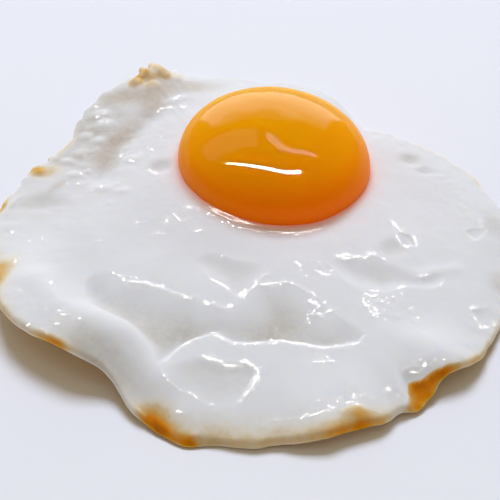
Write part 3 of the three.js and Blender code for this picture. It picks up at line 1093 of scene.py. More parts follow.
@dataclass(frozen=True)
class FilmForm:
    """The water film where it stands up along the wrinkles, as rows of small leaning beads.

    The thick white runs out and down to the front, so the beads lean that way. On a bead the film
    is the plane of its lean, rounded by its radius, and at the edges it dips below the white.
    """

    white: AlbumenForm
    lean: float = 0.53
    more_lean: float = 0.0024  # for each millimetre towards the back
    uneven_lean: float = 0.04
    follow: float = 0.4  # how far the lean along X follows the white's slope
    steepest: float = 0.3  # the slope up to which it does
    step: float = 0.1
    across: int = 11
    clear: float = 0.04  # how far the lowest part of a bead stands over the white
    sunk: float = 0.05
    thickness: float = 0.15
    missing: float = 0.24  # the share of beads that are dry
    lengths: tuple[float, float] = (0.35, 1.3)
    gap: float = 0.2
    radii: tuple[float, float] = (1.2, 5.5)  # on films up to narrow across
    narrow: float = 0.25
    from_yolk: float = 1.9
    barb_pitch: float = 1.6
    seed: int = 41

    def beads(self, line: Line, half: float, number: int) -> BeadRow:
        """Divide one line into beads and lay points over them.

        Args:
            line: where the film runs.
            half: its half width in millimetres.
            number: what makes its beads differ from another line's.

        Returns:
            The row of beads.
        """
        rng = np.random.default_rng(self.seed + number)
        noise = self.white.noise
        length = line.length()
        run = np.linspace(0, length, max(6, int(length / self.step)))
        seat = np.full(run.shape, 3.7 * number)
        centre = line.at(run)
        ahead = np.gradient(centre, axis=0)
        ahead = ahead / np.maximum(np.hypot(*ahead.T), 1e-6)[:, None]
        left = np.stack([-ahead[:, 1], ahead[:, 0]], -1)
        wander = 0.35 * noise.at(run, seat, 1.5) + 0.45 * noise.at(run, seat + 9, 0.55)
        centre = centre + left * wander[:, None]
        shortest, longest = self.lengths
        longs = rng.uniform(shortest, longest, int(length / shortest) + 2)
        ends = np.cumsum(longs) - self.gap
        bead = np.searchsorted(ends, run)
        middle = np.clip(ends - longs / 2, 0, length)
        fade = smoothstep(np.minimum(run, length - run), -0.1, 0.5)
        wide = half * fade * np.clip(1 + 1.4 * noise.at(run, seat + 30, 0.9), 0.2, 1.9)
        u = np.linspace(-1, 1, self.across)[None, :]
        return BeadRow(
            half=half,
            x=centre[:, :1] + wide[:, None] * u * left[:, :1],
            y=centre[:, 1:] + wide[:, None] * u * left[:, 1:],
            u=u,
            bead=bead,
            place=(run - middle[bead]) / (longs[bead] / 2),
            middle_x=np.interp(middle, run, centre[:, 0]),
            middle_y=np.interp(middle, run, centre[:, 1]),
            turn=rng.normal(0, self.uneven_lean, (2, len(longs))),
            radius=rng.uniform(*self.radii, len(longs)) * max(1, half / self.narrow),
            dry=rng.uniform(0, 1, len(longs)) < self.missing,
        )

    def strip(self, row: BeadRow, ground: Array, seat: Array, slopes: Array) -> Shell:
        """Raise the beads over the white.

        Args:
            row: the beads.
            ground: the white's height at their points.
            seat: the white's height at the beads' middles.
            slopes: the white's slopes along X and Y there.

        Returns:
            The closed strip, whose under side lies inside the white.
        """
        lean_x = self.follow * np.clip(slopes[0], -self.steepest, self.steepest) + row.turn[0]
        lean_y = self.lean + self.more_lean * row.middle_y + row.turn[1]
        high = seat + self.clear + 0.7 * row.half * np.abs(lean_y - slopes[1])
        dx = row.x - row.middle_x[row.bead][:, None]
        dy = row.y - row.middle_y[row.bead][:, None]
        plane = high[row.bead][:, None]
        plane = plane + lean_x[row.bead][:, None] * dx + lean_y[row.bead][:, None] * dy
        plane = plane - (dx**2 + dy**2) / (2 * row.radius[row.bead][:, None])
        place = np.clip(np.abs(row.place), 0, 1)
        hold = (1 - row.u**6) * ((1 - place**6) * ~row.dry[row.bead])[:, None]
        z = ground + (plane - ground) * hold - self.sunk * (1 - hold)
        upper = np.stack([row.x, row.y, z], -1)
        lower = np.stack([row.x, row.y, np.minimum(ground, z) - self.thickness], -1)
        rings = np.concatenate([upper, lower[:, ::-1][:, 1:-1]], axis=1)
        return Shell(rings, rings[0].mean(axis=0), rings[-1].mean(axis=0))

    def round_yolk(self) -> Line:
        """Run a line along the yolk's outline, a little outside it, round the front."""
        yolk = self.white.yolk
        first, last = -129, -64
        turn = np.radians(np.linspace(first, last, 14))
        away = yolk.width / 2 + self.from_yolk
        x = yolk.x + away * np.cos(turn)
        y = yolk.y + away * np.sin(turn) * yolk.depth / yolk.width
        return Line(tuple(zip(x.tolist(), y.tolist())))

    def lines(self) -> list[tuple[Line, float]]:
        """List where film lies: on the wrinkles, round the yolk, on barbs and on crinkles.

        Returns:
            The lines, each with the film's half width in millimetres.
        """
        round_yolk, barb, longest_barb, longest_crinkle = 0.38, 0.26, 1.1, 1.7
        rng = np.random.default_rng(self.seed)
        found = [(wrinkle.line, wrinkle.film) for wrinkle in self.white.wrinkles]
        found.append((self.round_yolk(), round_yolk))
        strokes = []
        for line in map(Line, CREST_LINES):
            count = int(line.length() / self.barb_pitch)
            spot = line.at(rng.uniform(0, line.length(), count))
            strokes.append((spot + rng.normal(0, 0.5, spot.shape), barb, longest_barb))
        for patch, count in CRINKLES:
            u, v = rng.normal(0, 0.45, (2, count)) * [[patch.long], [patch.wide]]
            turn = np.radians(patch.turn)
            x = patch.x + u * np.cos(turn) - v * np.sin(turn)
            y = patch.y + u * np.sin(turn) + v * np.cos(turn)
            strokes.append((np.stack([x, y], -1), patch.up, longest_crinkle))
        for spot, half, longest in strokes:
            heading = rng.uniform(-0.9, 0.9, len(spot))
            reach = rng.uniform(0.25, longest / 2, (len(spot), 1))
            away = reach * np.stack([np.cos(heading), np.sin(heading)], -1)
            pairs = zip((spot - away).tolist(), (spot + away).tolist())
            found += [(Line((tuple(start), tuple(end))), half) for start, end in pairs]
        return found

    def shells(self) -> list[Shell]:
        """Lay the film along all its lines, asking the white for all its heights at once."""
        near = 0.25
        rows = [self.beads(*line, number) for number, line in enumerate(self.lines())]
        x = np.concatenate([row.x.ravel() for row in rows])
        y = np.concatenate([row.y.ravel() for row in rows])
        grounds = np.split(self.white.top(x, y), np.cumsum([row.x.size for row in rows])[:-1])
        x = np.concatenate([row.middle_x for row in rows])
        y = np.concatenate([row.middle_y for row in rows])
        shifts = np.array([(0, 0), (near, 0), (-near, 0), (0, near), (0, -near)])[:, :, None]
        tops = self.white.top(x + shifts[:, 0], y + shifts[:, 1])
        slopes = np.stack([tops[1] - tops[2], tops[3] - tops[4]]) / (2 * near)
        cuts = np.cumsum([len(row.middle_x) for row in rows])[:-1]
        seats, slopes = np.split(tops[0], cuts), np.split(slopes, cuts, axis=1)
        return [
            self.strip(row, ground.reshape(row.x.shape), seat, slope)
            for row, ground, seat, slope in zip(rows, grounds, seats, slopes)
        ]


# ---------------------------------------------------------------- finishes


def add_node(
    tree: bpy.types.NodeTree, kind: str, inputs: dict | None = None, **settings: object
) -> bpy.types.Node:
    """Add one shader node.

    Args:
        tree: the material's node tree.
        kind: the node's type name.
        inputs: for each input by name or number, a value or the socket that feeds it.
        settings: the node's own properties.

    Returns:
        The new node.
    """
    node = tree.nodes.new(kind)
    for name, value in settings.items():
        setattr(node, name, value)
    for name, value in (inputs or {}).items():
        if isinstance(value, bpy.types.NodeSocket):
            tree.links.new(value, node.inputs[name])
        else:
            node.inputs[name].default_value = value
    return node


def new_material(name: str) -> tuple[bpy.types.Material, bpy.types.NodeTree]:
    """Start a material with an empty node tree.

    Args:
        name: what the material really is.

    Returns:
        The material and its tree.
    """
    material = bpy.data.materials.new(name)
    material.use_nodes = True
    material.node_tree.nodes.clear()
    return material, material.node_tree


def finish_material(tree: bpy.types.NodeTree, shader: bpy.types.Node) -> None:
    """Send a shader to the material's output."""
    add_node(tree, "ShaderNodeOutputMaterial", {"Surface": shader.outputs[0]})


def set_stops(ramp: bpy.types.Node, stops: tuple[tuple[float, str], ...]) -> None:
    """Give a colour ramp its stops.

    Args:
        ramp: the node, which has its two first elements.
        stops: each place from 0 to 1, in order, with its sRGB hex colour.
    """
    elements = ramp.color_ramp.elements
    for element, (where, colour) in zip(elements, (stops[0], stops[-1])):
        element.position, element.color = where, linear(colour)
    for where, colour in stops[1:-1]:
        elements.new(where).color = linear(colour)


# Set egg white is cloudy protein: light goes in, scatters and comes out a little way off, so its
# shadows are soft and bluish white. Where it is thin it looks grey, or taupe over a browned
# underside; the same grey is laid as painted shade on the basin floors and the flank of the long
# fold. Next to the yolk the white is tinted pink and given a faint painted glow, for light from the
# yolk. Frying turns the rim from cream through gold to brown. Water on top adds a faint sheen.
@dataclass(frozen=True)
class WetSetAlbumen:
    """Egg white set by heat, moist on top and browned at the rim."""

    thick: str = "#e2e4ec"
    # grey of thin, see-through white, also laid as painted shade on basin floors and the fold's
    # flank
    thin: str = "#bfbbb6"
    taupe: str = "#c2b1a1"
    # pink tint next to the yolk: partly the yolk seen through the white, partly painted light from
    # the yolk
    yolk_tint_and_painted_light: str = "#ec9c82"
    # painted glow: an emission colour and strength for the white next to the yolk, standing for
    # light from the yolk
    painted_glow_colour: str = "#ff9c84"
    painted_glow_strength: float = 0.17
    browned: tuple[tuple[float, str], ...] = (
        (0.02, "#efe8da"),
        (0.2, "#dccdb2"),
        (0.4, "#d6ac66"),
        (0.6, "#dc8c14"),
        (0.8, "#bc6c1c"),
        (1.0, "#8a4f22"),
    )
    speckle: float = 0.16  # how much the browning varies from grain to grain
    skin: float = 0.00002  # metres
    crinkle: float = 0.0008  # metres
    scatter: float = 0.0022  # metres

    def build(self) -> bpy.types.Material:
        """Make the material.

        Returns:
            The material, which reads the attributes browning, thinness, brownish, glow, wetness
            and crinkled.
        """
        material, tree = new_material("wet set egg white")
        place = add_node(tree, "ShaderNodeTexCoord").outputs["Object"]
        glow = add_node(tree, "ShaderNodeAttribute", attribute_name="glow").outputs["Fac"]
        wet = add_node(tree, "ShaderNodeAttribute", attribute_name="wetness")
        # painted glow: emission on the white next to the yolk, the glow mask times its strength
        painted_glow_amount = add_node(
            tree, "ShaderNodeMath", {0: glow, 1: self.painted_glow_strength}, operation="MULTIPLY"
        )
        skin, film = self.relief(tree, place)
        shader = add_node(
            tree,
            "ShaderNodeBsdfPrincipled",
            {
                "Emission Color": linear(self.painted_glow_colour),
                "Emission Strength": painted_glow_amount.outputs[0],
                "Base Color": self.colour(tree, place, glow),
                "Roughness": 0.32,
                "IOR": 1.38,
                "Specular IOR Level": 0.0,
                "Subsurface Weight": 1.0,
                "Subsurface Radius": (1.0, 0.93, 0.85),
                "Subsurface Scale": self.scatter,
                "Coat Weight": wet.outputs["Fac"],
                "Coat Roughness": 0.16,
                "Coat IOR": 1.45,
                "Normal": skin,
                "Coat Normal": film,
            },
        )
        finish_material(tree, shader)
        return material

    def colour(
        self, tree: bpy.types.NodeTree, place: bpy.types.NodeSocket, glow: bpy.types.NodeSocket
    ) -> bpy.types.NodeSocket:
        """Mix the colour: thick to thin and painted shade, to taupe, to the yolk's tint and painted
        glow, to browned.

        Args:
            tree: the material's node tree.
            place: the socket with object coordinates.
            glow: the socket with the attribute glow.

        Returns:
            The socket with the colour.
        """
        colour = linear(self.thick)
        thin = add_node(tree, "ShaderNodeAttribute", attribute_name="thin_and_painted_shade").outputs["Fac"]
        brownish = add_node(tree, "ShaderNodeAttribute", attribute_name="brownish").outputs["Fac"]
        for factor, code in ((thin, self.thin), (brownish, self.taupe), (glow, self.yolk_tint_and_painted_light)):
            inputs = {"Factor": factor, 6: colour, 7: linear(code)}
            colour = add_node(tree, "ShaderNodeMix", inputs, data_type="RGBA").outputs[2]
        brown = add_node(tree, "ShaderNodeAttribute", attribute_name="browning")
        grains = add_node(
            tree,
            "ShaderNodeTexNoise",
            {"Vector": place, "Scale": 900.0, "Detail": 4.0, "Roughness": 0.6},
        )
        speckled = add_node(
            tree,
            "ShaderNodeMath",
            {0: grains.outputs["Fac"], 1: self.speckle, 2: brown.outputs["Fac"]},
            operation="MULTIPLY_ADD",
        )
        centred = add_node(
            tree,
            "ShaderNodeMath",
            {0: speckled.outputs[0], 1: self.speckle / 2},
            operation="SUBTRACT",
        )
        ramp = add_node(tree, "ShaderNodeValToRGB", {"Fac": centred.outputs[0]})
        set_stops(ramp, self.browned)
        cover = add_node(
            tree,
            "ShaderNodeMapRange",
            {"Value": centred.outputs[0], "From Min": 0.0, "From Max": 0.2},
        )
        inputs = {"Factor": cover.outputs[0], 6: colour, 7: ramp.outputs["Color"]}
        return add_node(tree, "ShaderNodeMix", inputs, data_type="RGBA").outputs[2]

    def relief(
        self, tree: bpy.types.NodeTree, place: bpy.types.NodeSocket
    ) -> tuple[bpy.types.NodeSocket, bpy.types.NodeSocket]:
        """Make the fine grain of the skin, and on top of it the crinkles of the moist film.

        The crinkles' noise is centred on 0, so that a crinkled place doesn't stand up as a whole.

        Args:
            tree: the material's node tree.
            place: the socket with object coordinates.

        Returns:
            The sockets with the normals of the skin and of the film.
        """
        grain = add_node(
            tree, "ShaderNodeTexNoise", {"Vector": place, "Scale": 700.0, "Detail": 3.0}
        )
        skin = add_node(
            tree, "ShaderNodeBump", {"Height": grain.outputs["Fac"], "Distance": self.skin}
        )
        crinkled = add_node(tree, "ShaderNodeAttribute", attribute_name="crinkled")
        jagged = add_node(
            tree,
            "ShaderNodeTexNoise",
            {"Vector": place, "Scale": 950.0, "Detail": 3.0, "Roughness": 0.4},
        )
        centred = add_node(
            tree, "ShaderNodeMath", {0: jagged.outputs["Fac"], 1: 0.5}, operation="SUBTRACT"
        )
        crinkle = add_node(
            tree,
            "ShaderNodeMath",
            {0: centred.outputs[0], 1: crinkled.outputs["Fac"]},
            operation="MULTIPLY",
        )
        film = add_node(
            tree,
            "ShaderNodeBump",
            {
                "Height": crinkle.outputs[0],
                "Distance": self.crinkle,
                "Normal": skin.outputs[0],
            },
        )
        return skin.outputs[0], film.outputs[0]


# Water and frying fat stand on the white in a film a fraction of a millimetre thick. It is clear,
# so only its gloss shows: small sharp glints on the white below.
@dataclass(frozen=True)
class ClearFilm:
    """Water and frying fat, which mirror a few hundredths of what they meet."""

    mirrored: float = 0.0175
    ripple: float = 0.00002  # metres

    def build(self) -> bpy.types.Material:
        """Make the material: see-through, with a faint and slightly rippled mirror gloss."""
        material, tree = new_material("clear film of water and frying fat")
        place = add_node(tree, "ShaderNodeTexCoord")
        ripple = add_node(
            tree,
            "ShaderNodeTexNoise",
            {"Vector": place.outputs["Object"], "Scale": 2600.0, "Detail": 2.0},
        )
        bump = add_node(
            tree, "ShaderNodeBump", {"Height": ripple.outputs["Fac"], "Distance": self.ripple}
        )
        clear = add_node(tree, "ShaderNodeBsdfTransparent")
        gloss = add_node(
            tree, "ShaderNodeBsdfGlossy", {"Roughness": 0.1, "Normal": bump.outputs[0]}
        )
        mixed = add_node(
            tree,
            "ShaderNodeMixShader",
            {0: self.mirrored, 1: clear.outputs[0], 2: gloss.outputs[0]},
        )
        finish_material(tree, mixed)
        return material


# Yolk is a thick, nearly opaque orange liquid held round by its own clear, wet skin. Light goes a
# centimetre into it, red the furthest. Its colour is painted redder at the foot and more golden at
# the top, and the foot has a painted red-orange glow, for that light. The skin is very smooth and
# mirrors the lights as sharp bright streaks.
@dataclass(frozen=True)
class YolkUnderMembrane:
    """Soft yolk under its thin clear membrane: deep orange, very glossy, a little translucent."""

    # deep orange from foot to top, painted redder at the foot and more golden at the top for how
    # light passes through the yolk
    colours: tuple[tuple[float, str], ...] = (
        (0.0, "#f67200"),
        (0.3, "#f88600"),
        (0.62, "#f49c00"),
        (1.0, "#ec9c00"),
    )
    # painted glow at the yolk's foot: emission colour and strength, for light that has come through
    # the yolk
    painted_glow_colour: str = "#ff4a00"
    painted_glow_strength: float = 0.22
    scatter: float = 0.011  # metres

    def build(self) -> bpy.types.Material:
        """Make the material, which reads the attribute level from 0 at the seat to 1 at the top.

        Light that comes through the yolk to its foot is painted there as a faint glow: an emission
        that fades out towards the top.
        """
        material, tree = new_material("egg yolk")
        level = add_node(tree, "ShaderNodeAttribute", attribute_name="level")
        ramp = add_node(tree, "ShaderNodeValToRGB", {"Fac": level.outputs["Fac"]})
        set_stops(ramp, self.colours)
        painted_glow_amount = add_node(
            tree,
            "ShaderNodeMapRange",
            {
                "Value": level.outputs["Fac"],
                "From Max": 0.9,
                "To Min": self.painted_glow_strength,
                "To Max": 0.0,
            },
        )
        shader = add_node(
            tree,
            "ShaderNodeBsdfPrincipled",
            {
                "Emission Color": linear(self.painted_glow_colour),
                "Emission Strength": painted_glow_amount.outputs[0],
                "Base Color": ramp.outputs["Color"],
                "Roughness": 0.3,
                "IOR": 1.36,
                "Specular IOR Level": 0.0,
                "Subsurface Weight": 1.0,
                "Subsurface Radius": (1.0, 0.45, 0.1),
                "Subsurface Scale": self.scatter,
                "Coat Weight": 0.35,
                "Coat Roughness": 0.02,
                "Coat IOR": 1.35,
            },
        )
        finish_material(tree, shader)
        return material


# The board is sprayed with matt paint, so it hardly mirrors and the egg's shadows stay soft on it.
@dataclass(frozen=True)
class PaleTableTop:
    """A smooth matt painted board, pale and slightly blue, that the egg lies on."""

    colour: str = "#edeffa"

    def build(self) -> bpy.types.Material:
        """Make the material."""
        material, tree = new_material("pale painted board")
        shader = add_node(
            tree,
            "ShaderNodeBsdfPrincipled",
            {"Base Color": linear(self.colour), "Roughness": 0.6, "Specular IOR Level": 0.07},
        )
        finish_material(tree, shader)
        return material


# ---------------------------------------------------------------- pieces


# The brown crust past the edge of the thick white.
CRUST = (RimBump(303.5, 4.5, 0.62), RimBump(310, 3.6, 0.5))
# Browned stretches of the rim, and browned patches beside it.
RIM_STAINS = rows(
    RimStain,
    (256, 8, 0.2, 4.5), (270, 11, 0.26, 3.4), (287, 8, 0.4, 2.4), (290, 6, 0.25, 1.7),
    (316, 6, 0.3, 0.8), (328, 9, 0.15, 0.7), (227, 4, 0.6, 0.8), (214, 8, 0.2, 1.0),
    (203, 7, 0.3, 2.6), (193, 8, 0.3, 1.6), (174, 3.5, 0.95, 1.0), (159, 2.5, 0.4, 1.2),
    (148, 5, 0.5, 0.9), (113, 6, 0.25, 1.0), (96, 3, 0.45, 0.8), (17, 5, 0.6, 0.6),
    (32, 8, 0.25, 0.8),
)
BROWN_PATCHES = rows(
    Patch,
    (-17.0, -54.2, 3.6, 2.0, -30, 0.34), (-17.8, -51.4, 3.0, 2.0, -10, 0.24),
    (-10.6, -57.6, 2.2, 1.2, -40, 0.3), (-14.5, -55.5, 5.0, 1.8, -35, 0.15),
    (-27.4, 48.8, 1.8, 1.9, 0, 0.29), (-26.2, 52.2, 1.8, 2.8, 0, 0.24),
    (-23.4, 53.6, 3.0, 4.0, 0, 0.2), (-20.6, 51.2, 1.8, 3.0, 0, 0.2),
    (-17.8, 50.6, 2.4, 2.2, 0, 0.14), (-23.4, 46.8, 2.0, 1.4, 0, 0.19),
    (-24.8, 49.2, 2.6, 2.4, 0, 0.12), (18.8, -52.7, 2.2, 1.2, 0, 0.24),
    (-46.8, 17.6, 1.3, 1.5, 0, 0.34), (-45.0, 17.2, 3.4, 2.6, 20, 0.2),
    (-48.6, -19.0, 5.5, 2.2, 75, 0.22),
)
# Dry, dull places: the fried corners and horn, and the flank of the long fold.
DRY_PATCHES = rows(
    Patch,
    (-17.5, -50.0, 9.0, 5.5, -30, 1.0), (-29.0, -41.0, 11.0, 6.0, -45, 1.0),
    (-23.5, 53.0, 6.5, 5.5, 0, 0.9), (31.5, -45.5, 6.0, 3.0, 40, 1.0),
)
# Places where the film is crinkled all over.
CRINKLED = rows(
    Patch,
    (25.5, -26.5, 6.5, 3.4, -45, 0.8), (6.0, -40.5, 5.0, 2.0, 0, 0.5),
    (-27.0, 18.0, 8.0, 4.0, 60, 0.5), (-35.0, 36.0, 7.0, 5.0, 60, 0.6),
    (-19.0, 36.0, 6.0, 4.0, 30, 0.4), (-14.0, -2.0, 5.0, 3.0, 0, 0.4),
    (44.0, 10.0, 8.0, 4.0, 110, 0.5), (14.0, -51.0, 9.0, 2.0, 8, 0.6),
    (-46.0, -20.0, 8.0, 3.0, 80, 0.5),
)
# Thin places where the browned underside shows through as taupe.
BROWNISH = rows(
    Patch,
    (-30.3, 44.0, 5.5, 3.2, 0, 0.45), (-22.4, 42.0, 3.8, 5.4, 0, 0.5),
    (-13.9, 46.8, 7.0, 3.0, 8, 0.4), (-28.5, 29.2, 7.0, 2.6, 53, 0.42),
    (-31.8, 20.4, 2.8, 4.2, 0, 0.2), (-41.8, 11.6, 2.8, 1.1, 50, 0.4),
    (-43.0, 20.6, 1.2, 2.2, 0, 0.4), (-40.0, 20.0, 24.0, 12.0, 65, 0.12),
)
# Basins with a thin floor, painted grey both as thin white and as painted shade in the hollow: how
# grey, and the power that its slopes follow.
THIN_AND_SHADED_BASINS = ((VALLEY, 0.75, 2), (RIGHT_HOLLOW, 0.5, 2), (DISH, 0.35, 1), (POCKET, 0.2, 1))
# Thin, see-through places, painted grey; on the flank of the long fold the grey is painted shade.
THIN_AND_SHADED_PATCHES = rows(
    Patch,
    (-30.3, 44.0, 5.5, 3.2, 0, 0.55), (-22.4, 42.0, 3.8, 5.4, 0, 0.55),
    (-13.9, 46.8, 7.0, 3.0, 8, 0.5), (-28.5, 29.2, 7.0, 2.6, 53, 0.5),
    (-31.8, 20.4, 2.8, 4.2, 0, 0.6), (-36.0, 34.0, 12, 8, 60, 0.62), (-37.0, 21.0, 5, 4, 0, 0.35),
    (-19.8, 15.1, 2.6, 2.4, 0, 0.4), (-44.8, 5.7, 5.5, 3.2, 0, 0.5),
    (-28.6, -41.0, 10.0, 4.0, -40, 0.8), (35.4, 20.5, 2.6, 2.2, 0, 0.5),
    (38.1, 16.3, 2.0, 1.6, 0, 0.3), (50.5, -1.3, 2.8, 2.8, 0, 0.5),
    (50.0, -18.5, 3.2, 2.7, 90, 0.6), (28.9, -10.0, 3.4, 2.6, 60, 0.3),
)


class Albumen:
    """The white as it shows: the form above, dense enough for its wrinkles, with its colours."""

    def __init__(self, form: AlbumenForm, finish: WetSetAlbumen) -> None:
        """Keep the form and the finish.

        Args:
            form: the shape of the white.
            finish: its material.
        """
        self.form = form
        self.finish = finish

    def build(self) -> bpy.types.Object:
        """Make the mesh, store what its material reads, and dress it.

        Returns:
            The finished piece.
        """
        shell = self.form.shell()
        piece = make_piece("albumen", [shell])
        x, y, z = np.moveaxis(shell.rings, -1, 0)
        brownish = sum(patch.height(x, y) for patch in BROWNISH)
        paint(piece, "browning", [(self.browning(x, y, z), (0.0, 1.0))])
        paint(piece, "thin_and_painted_shade", [(self.thin_and_painted_shade(x, y), (0.0, 0.0))])
        paint(piece, "glow", [(self.glow(x, y), (1.0, 0.0))])
        paint(piece, "crinkled", [(self.crinkled(x, y), (0.0, 0.0))])
        paint(piece, "brownish", [(brownish, (0.0, 0.0))])
        paint(piece, "wetness", [(self.wetness(x, y), (1.0, 0.0))])
        piece.data.materials.append(self.finish.build())
        return piece

    def browning(self, x: Array, y: Array, z: Array) -> Array:
        """Give how browned each point is: rim stains and patches low on the rim, and underneath.

        The horn's lobes are darkest in a ring round each, and the crust past the thick white is
        browned all over.

        Args:
            x: millimetres along X.
            y: millimetres along Y.
            z: millimetres up.

        Returns:
            Numbers from 0, white, to 1, dark brown.
        """
        stained_height, darkest, underside = 3.8, 0.85, 0.45
        ring, ring_at, ring_wide = 0.12, 0.35, 0.25
        form = self.form
        bearing, inside = form.bearing_and_inside(x, y)
        above = np.maximum(0, z - form.underside(x, y))
        edge = sum(stain.height(bearing, inside) for stain in RIM_STAINS)
        edge = edge * np.exp(-((above / stained_height) ** 2))
        edge = edge + sum(patch.height(x, y) for patch in BROWN_PATCHES)
        lobe = np.max([lobe.height(x, y) / lobe.up for lobe in HORN_LOBES[:4]], axis=0)
        edge = edge + ring * np.exp(-(((lobe - ring_at) / ring_wide) ** 2))
        past_thick = inside - along_rim(form.skirts, bearing)
        crust = np.clip(along_rim(CRUST, bearing), 0, 1) * (1 - smoothstep(past_thick, -0.3, 0.5))
        edge = np.maximum(edge * (1 - 0.5 * np.clip(crust, 0, 1)), crust)
        under = underside * (1 - smoothstep(above, 0.0, 0.3))
        mottle = 1 + 0.22 * form.noise.layered(x, y, 3.0, 3)
        return np.clip(np.maximum(edge, under) * mottle, 0, darkest)

    def crinkled(self, x: Array, y: Array) -> Array:
        """Give how crinkled the water film is: most beside the wrinkles and on crinkled places."""
        beside, reach = 0.8, 1.2
        total = sum(patch.height(x, y) for patch in CRINKLED)
        nearest = np.full(x.shape, np.inf)
        for wrinkle in self.form.wrinkles:
            nearest = np.minimum(nearest, wrinkle.line.measure(x, y)[0])
        return np.clip(total + beside * np.exp(-((nearest / reach) ** 2)), 0, 1)

    def wetness(self, x: Array, y: Array) -> Array:
        """Give how wet each point is: moist on top, hardly on the rim, wetter beside the yolk.

        Args:
            x: millimetres along X.
            y: millimetres along Y.

        Returns:
            Numbers from 0, dry, to 1.
        """
        moist, beside_yolk, reach = 0.04, 0.1, 2
        _, inside = self.form.bearing_and_inside(x, y)
        dry = 1 - smoothstep(inside, 2.0, 5.0)
        dry = np.clip(dry + 1.6 * sum(patch.height(x, y) for patch in DRY_PATCHES), 0, 1)
        outside = self.form.outside_yolk(x, y)
        return moist * (1 - 0.98 * dry) + beside_yolk * np.exp(-((outside / reach) ** 2))

    def thin_and_painted_shade(self, x: Array, y: Array) -> Array:
        """Give how grey the white is painted: thin and see-through in thin places, painted shade in
        the basins and on the fold's flank, and less on lumps.

        Args:
            x: millimetres along X.
            y: millimetres along Y.

        Returns:
            Numbers from 0, thick and unshaded, to 1.
        """
        low = sum(most * basin.share(x, y) ** power for basin, most, power in THIN_AND_SHADED_BASINS)
        low = low + sum(patch.height(x, y) for patch in THIN_AND_SHADED_PATCHES)
        low = low - 0.7 * sum(lump.height(x, y) for lump in LUMPS)
        mottle = 1 + 0.35 * self.form.noise.layered(x + 50, y, 7.0, 2)
        return np.clip(low * mottle, 0, 1)

    def glow(self, x: Array, y: Array) -> Array:
        """Give the mask of the pink tint and painted glow next to the yolk: the yolk showing
        through the white that laps onto it, and painted light from the yolk.
        """
        most, reach = 0.75, 0.85
        return np.exp(-self.form.outside_yolk(x, y) / reach) * most


class Yolk:
    """The yolk as it shows."""

    def __init__(self, form: YolkForm, finish: YolkUnderMembrane) -> None:
        """Keep the form and the finish.

        Args:
            form: the shape of the yolk.
            finish: its material.
        """
        self.form = form
        self.finish = finish

    def build(self) -> bpy.types.Object:
        """Make the mesh, store its level and dress it.

        Returns:
            The finished piece.
        """
        shell = self.form.shell()
        piece = make_piece("yolk_ball", [shell])
        sunk = 1.0  # how far the seat lies under the widest level
        seat = self.form.z - sunk
        level = np.clip((shell.rings[..., 2] - seat) / (self.form.above + sunk), 0, 1)
        paint(piece, "level", [(level, (1.0, 0.0))])
        piece.data.materials.append(self.finish.build())
        return piece


# ---------------------------------------------------------------- the studio


class Seen(Enum):
    """What a light acts on: how things are lit, or what shines back from gloss."""

    LIGHTS = "lights"
    SHINES = "shines"


@dataclass(frozen=True)
class SoftLight:
    """A flat rectangular light that faces the egg. Its place and sizes are metres."""

    name: str
    place: tuple[float, float, float]
    long: float
    wide: float
    radiance: float  # brightness of its face
    heading: float = 0.0  # degrees, the way its long side runs seen from above
    colour: str = "#ffffff"
    seen: Seen = Seen.SHINES

    def build(self) -> bpy.types.Object:
        """Make the light and turn it to the egg.

        Returns:
            The light, which the camera itself doesn't see.
        """
        light = bpy.data.lights.new(self.name, "AREA")
        light.shape = "RECTANGLE"
        light.size, light.size_y = self.long, self.wide
        light.energy = self.radiance * np.pi * self.long * self.wide
        light.color = linear(self.colour)[:3]
        holder = bpy.data.objects.new(self.name, light)
        holder.location = self.place
        away = Vector(self.place).normalized()
        heading = np.radians(self.heading)
        along = Vector((np.cos(heading), np.sin(heading), 0.0))
        along = (along - away * along.dot(away)).normalized()
        turned = Matrix((along, away.cross(along), away)).transposed()
        holder.rotation_euler = turned.to_euler()
        holder.visible_camera = False
        holder.visible_diffuse = self.seen is Seen.LIGHTS
        holder.visible_glossy = self.seen is Seen.SHINES
        bpy.context.scene.collection.objects.link(holder)
        return holder


HAZE = "#eef1fb"  # the slightly blue white of a backdrop of paper


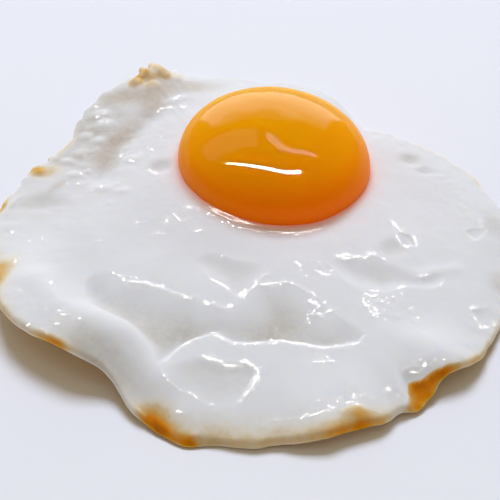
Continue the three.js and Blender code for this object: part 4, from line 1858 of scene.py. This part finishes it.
@dataclass(frozen=True)
class Studio:
    """Pale floor, soft lights and the camera.

    One light from the back lights the egg. The others only shine back from its gloss: long tubes
    as sharp streaks, and a backdrop in three layers, so that its edge is soft.
    """

    aim: tuple[float, float, float] = (-0.15, -5.7, 0.0)  # millimetres
    camera_elevation: float = 43.0  # degrees
    camera_distance: float = 259.7  # millimetres
    lens: float = 90.0  # millimetres
    sensor: float = 36.0
    floor_size: float = 6.0  # metres
    air: str = "#ffeec6"
    air_strength: float = 0.35
    lights: tuple[SoftLight, ...] = (
        SoftLight("key", (0.0, 1.15, 1.95), 0.95, 0.8, 17.7, 0.0, "#e5efff", Seen.LIGHTS),
        SoftLight("overhead tube", (-0.07, -0.10, 0.80), 0.96, 0.055, 314.0, -10.7, "#fffaf2"),
        SoftLight("second tube", (0.36, 0.25, 0.80), 0.38, 0.08, 13.0, 4.0),
        SoftLight("third tube", (0.118, 0.348, 0.80), 0.25, 0.08, 10.0, -60.0),
        SoftLight("backdrop", (0.0, 1.0, 0.29), 1.10, 0.54, 2.1, 0.0, HAZE),
        SoftLight("upper backdrop", (0.0, 1.02, 0.34), 1.2, 0.64, 1.8, 0.0, HAZE),
        SoftLight("edge of backdrop", (0.0, 1.04, 0.39), 1.3, 0.74, 1.15, 0.0, HAZE),
        SoftLight("side haze", (-0.50, 0.40, 0.80), 0.95, 0.36, 2.3, 0.0, HAZE),
    )

    def build(self) -> None:
        """Make the floor, the lights, the world and the camera."""
        scene = bpy.context.scene
        scene.view_settings.view_transform = "Standard"
        half = self.floor_size / 2
        corners = [(-half, -half, 0), (half, -half, 0), (half, half, 0), (-half, half, 0)]
        mesh = bpy.data.meshes.new("floor")
        mesh.from_pydata(corners, [], [(0, 1, 2, 3)])
        floor = bpy.data.objects.new("floor", mesh)
        floor.data.materials.append(PaleTableTop().build())
        scene.collection.objects.link(floor)
        for light in self.lights:
            light.build()
        world = bpy.data.worlds.new("studio air")
        world.use_nodes = True
        background = world.node_tree.nodes["Background"]
        background.inputs["Color"].default_value = linear(self.air)
        background.inputs["Strength"].default_value = self.air_strength
        scene.world = world
        aim = Vector(self.aim) * MM
        camera = bpy.data.objects.new("camera", bpy.data.cameras.new("camera"))
        camera.data.lens, camera.data.sensor_width = self.lens, self.sensor
        camera.data.clip_start = 0.01
        up = np.radians(self.camera_elevation)
        back = Vector((0.0, -np.cos(up), np.sin(up)))
        camera.location = aim + back * self.camera_distance * MM
        camera.rotation_euler = back.to_track_quat("Z", "Y").to_euler()
        scene.collection.objects.link(camera)
        scene.camera = camera


# ---------------------------------------------------------------- the egg


def main() -> None:
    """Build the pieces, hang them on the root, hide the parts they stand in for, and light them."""
    logging.basicConfig(level=logging.INFO, format="%(name)s: %(message)s")
    yolk_form = YolkForm()
    white_form = AlbumenForm(yolk_form)
    film = make_piece("water_film", FilmForm(white_form).shells())
    film.data.materials.append(ClearFilm().build())
    built = [
        (Albumen(white_form, WetSetAlbumen()).build(), "egg_white"),
        (film, "egg_white"),
        (Yolk(yolk_form, YolkUnderMembrane()).build(), "yolk"),
    ]
    for piece, node in built:
        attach(piece, "root")
        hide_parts(node)
        log.info("%s: %d faces", piece.name, len(piece.data.polygons))
    Studio().build()


if __name__ == "__main__":
    main()
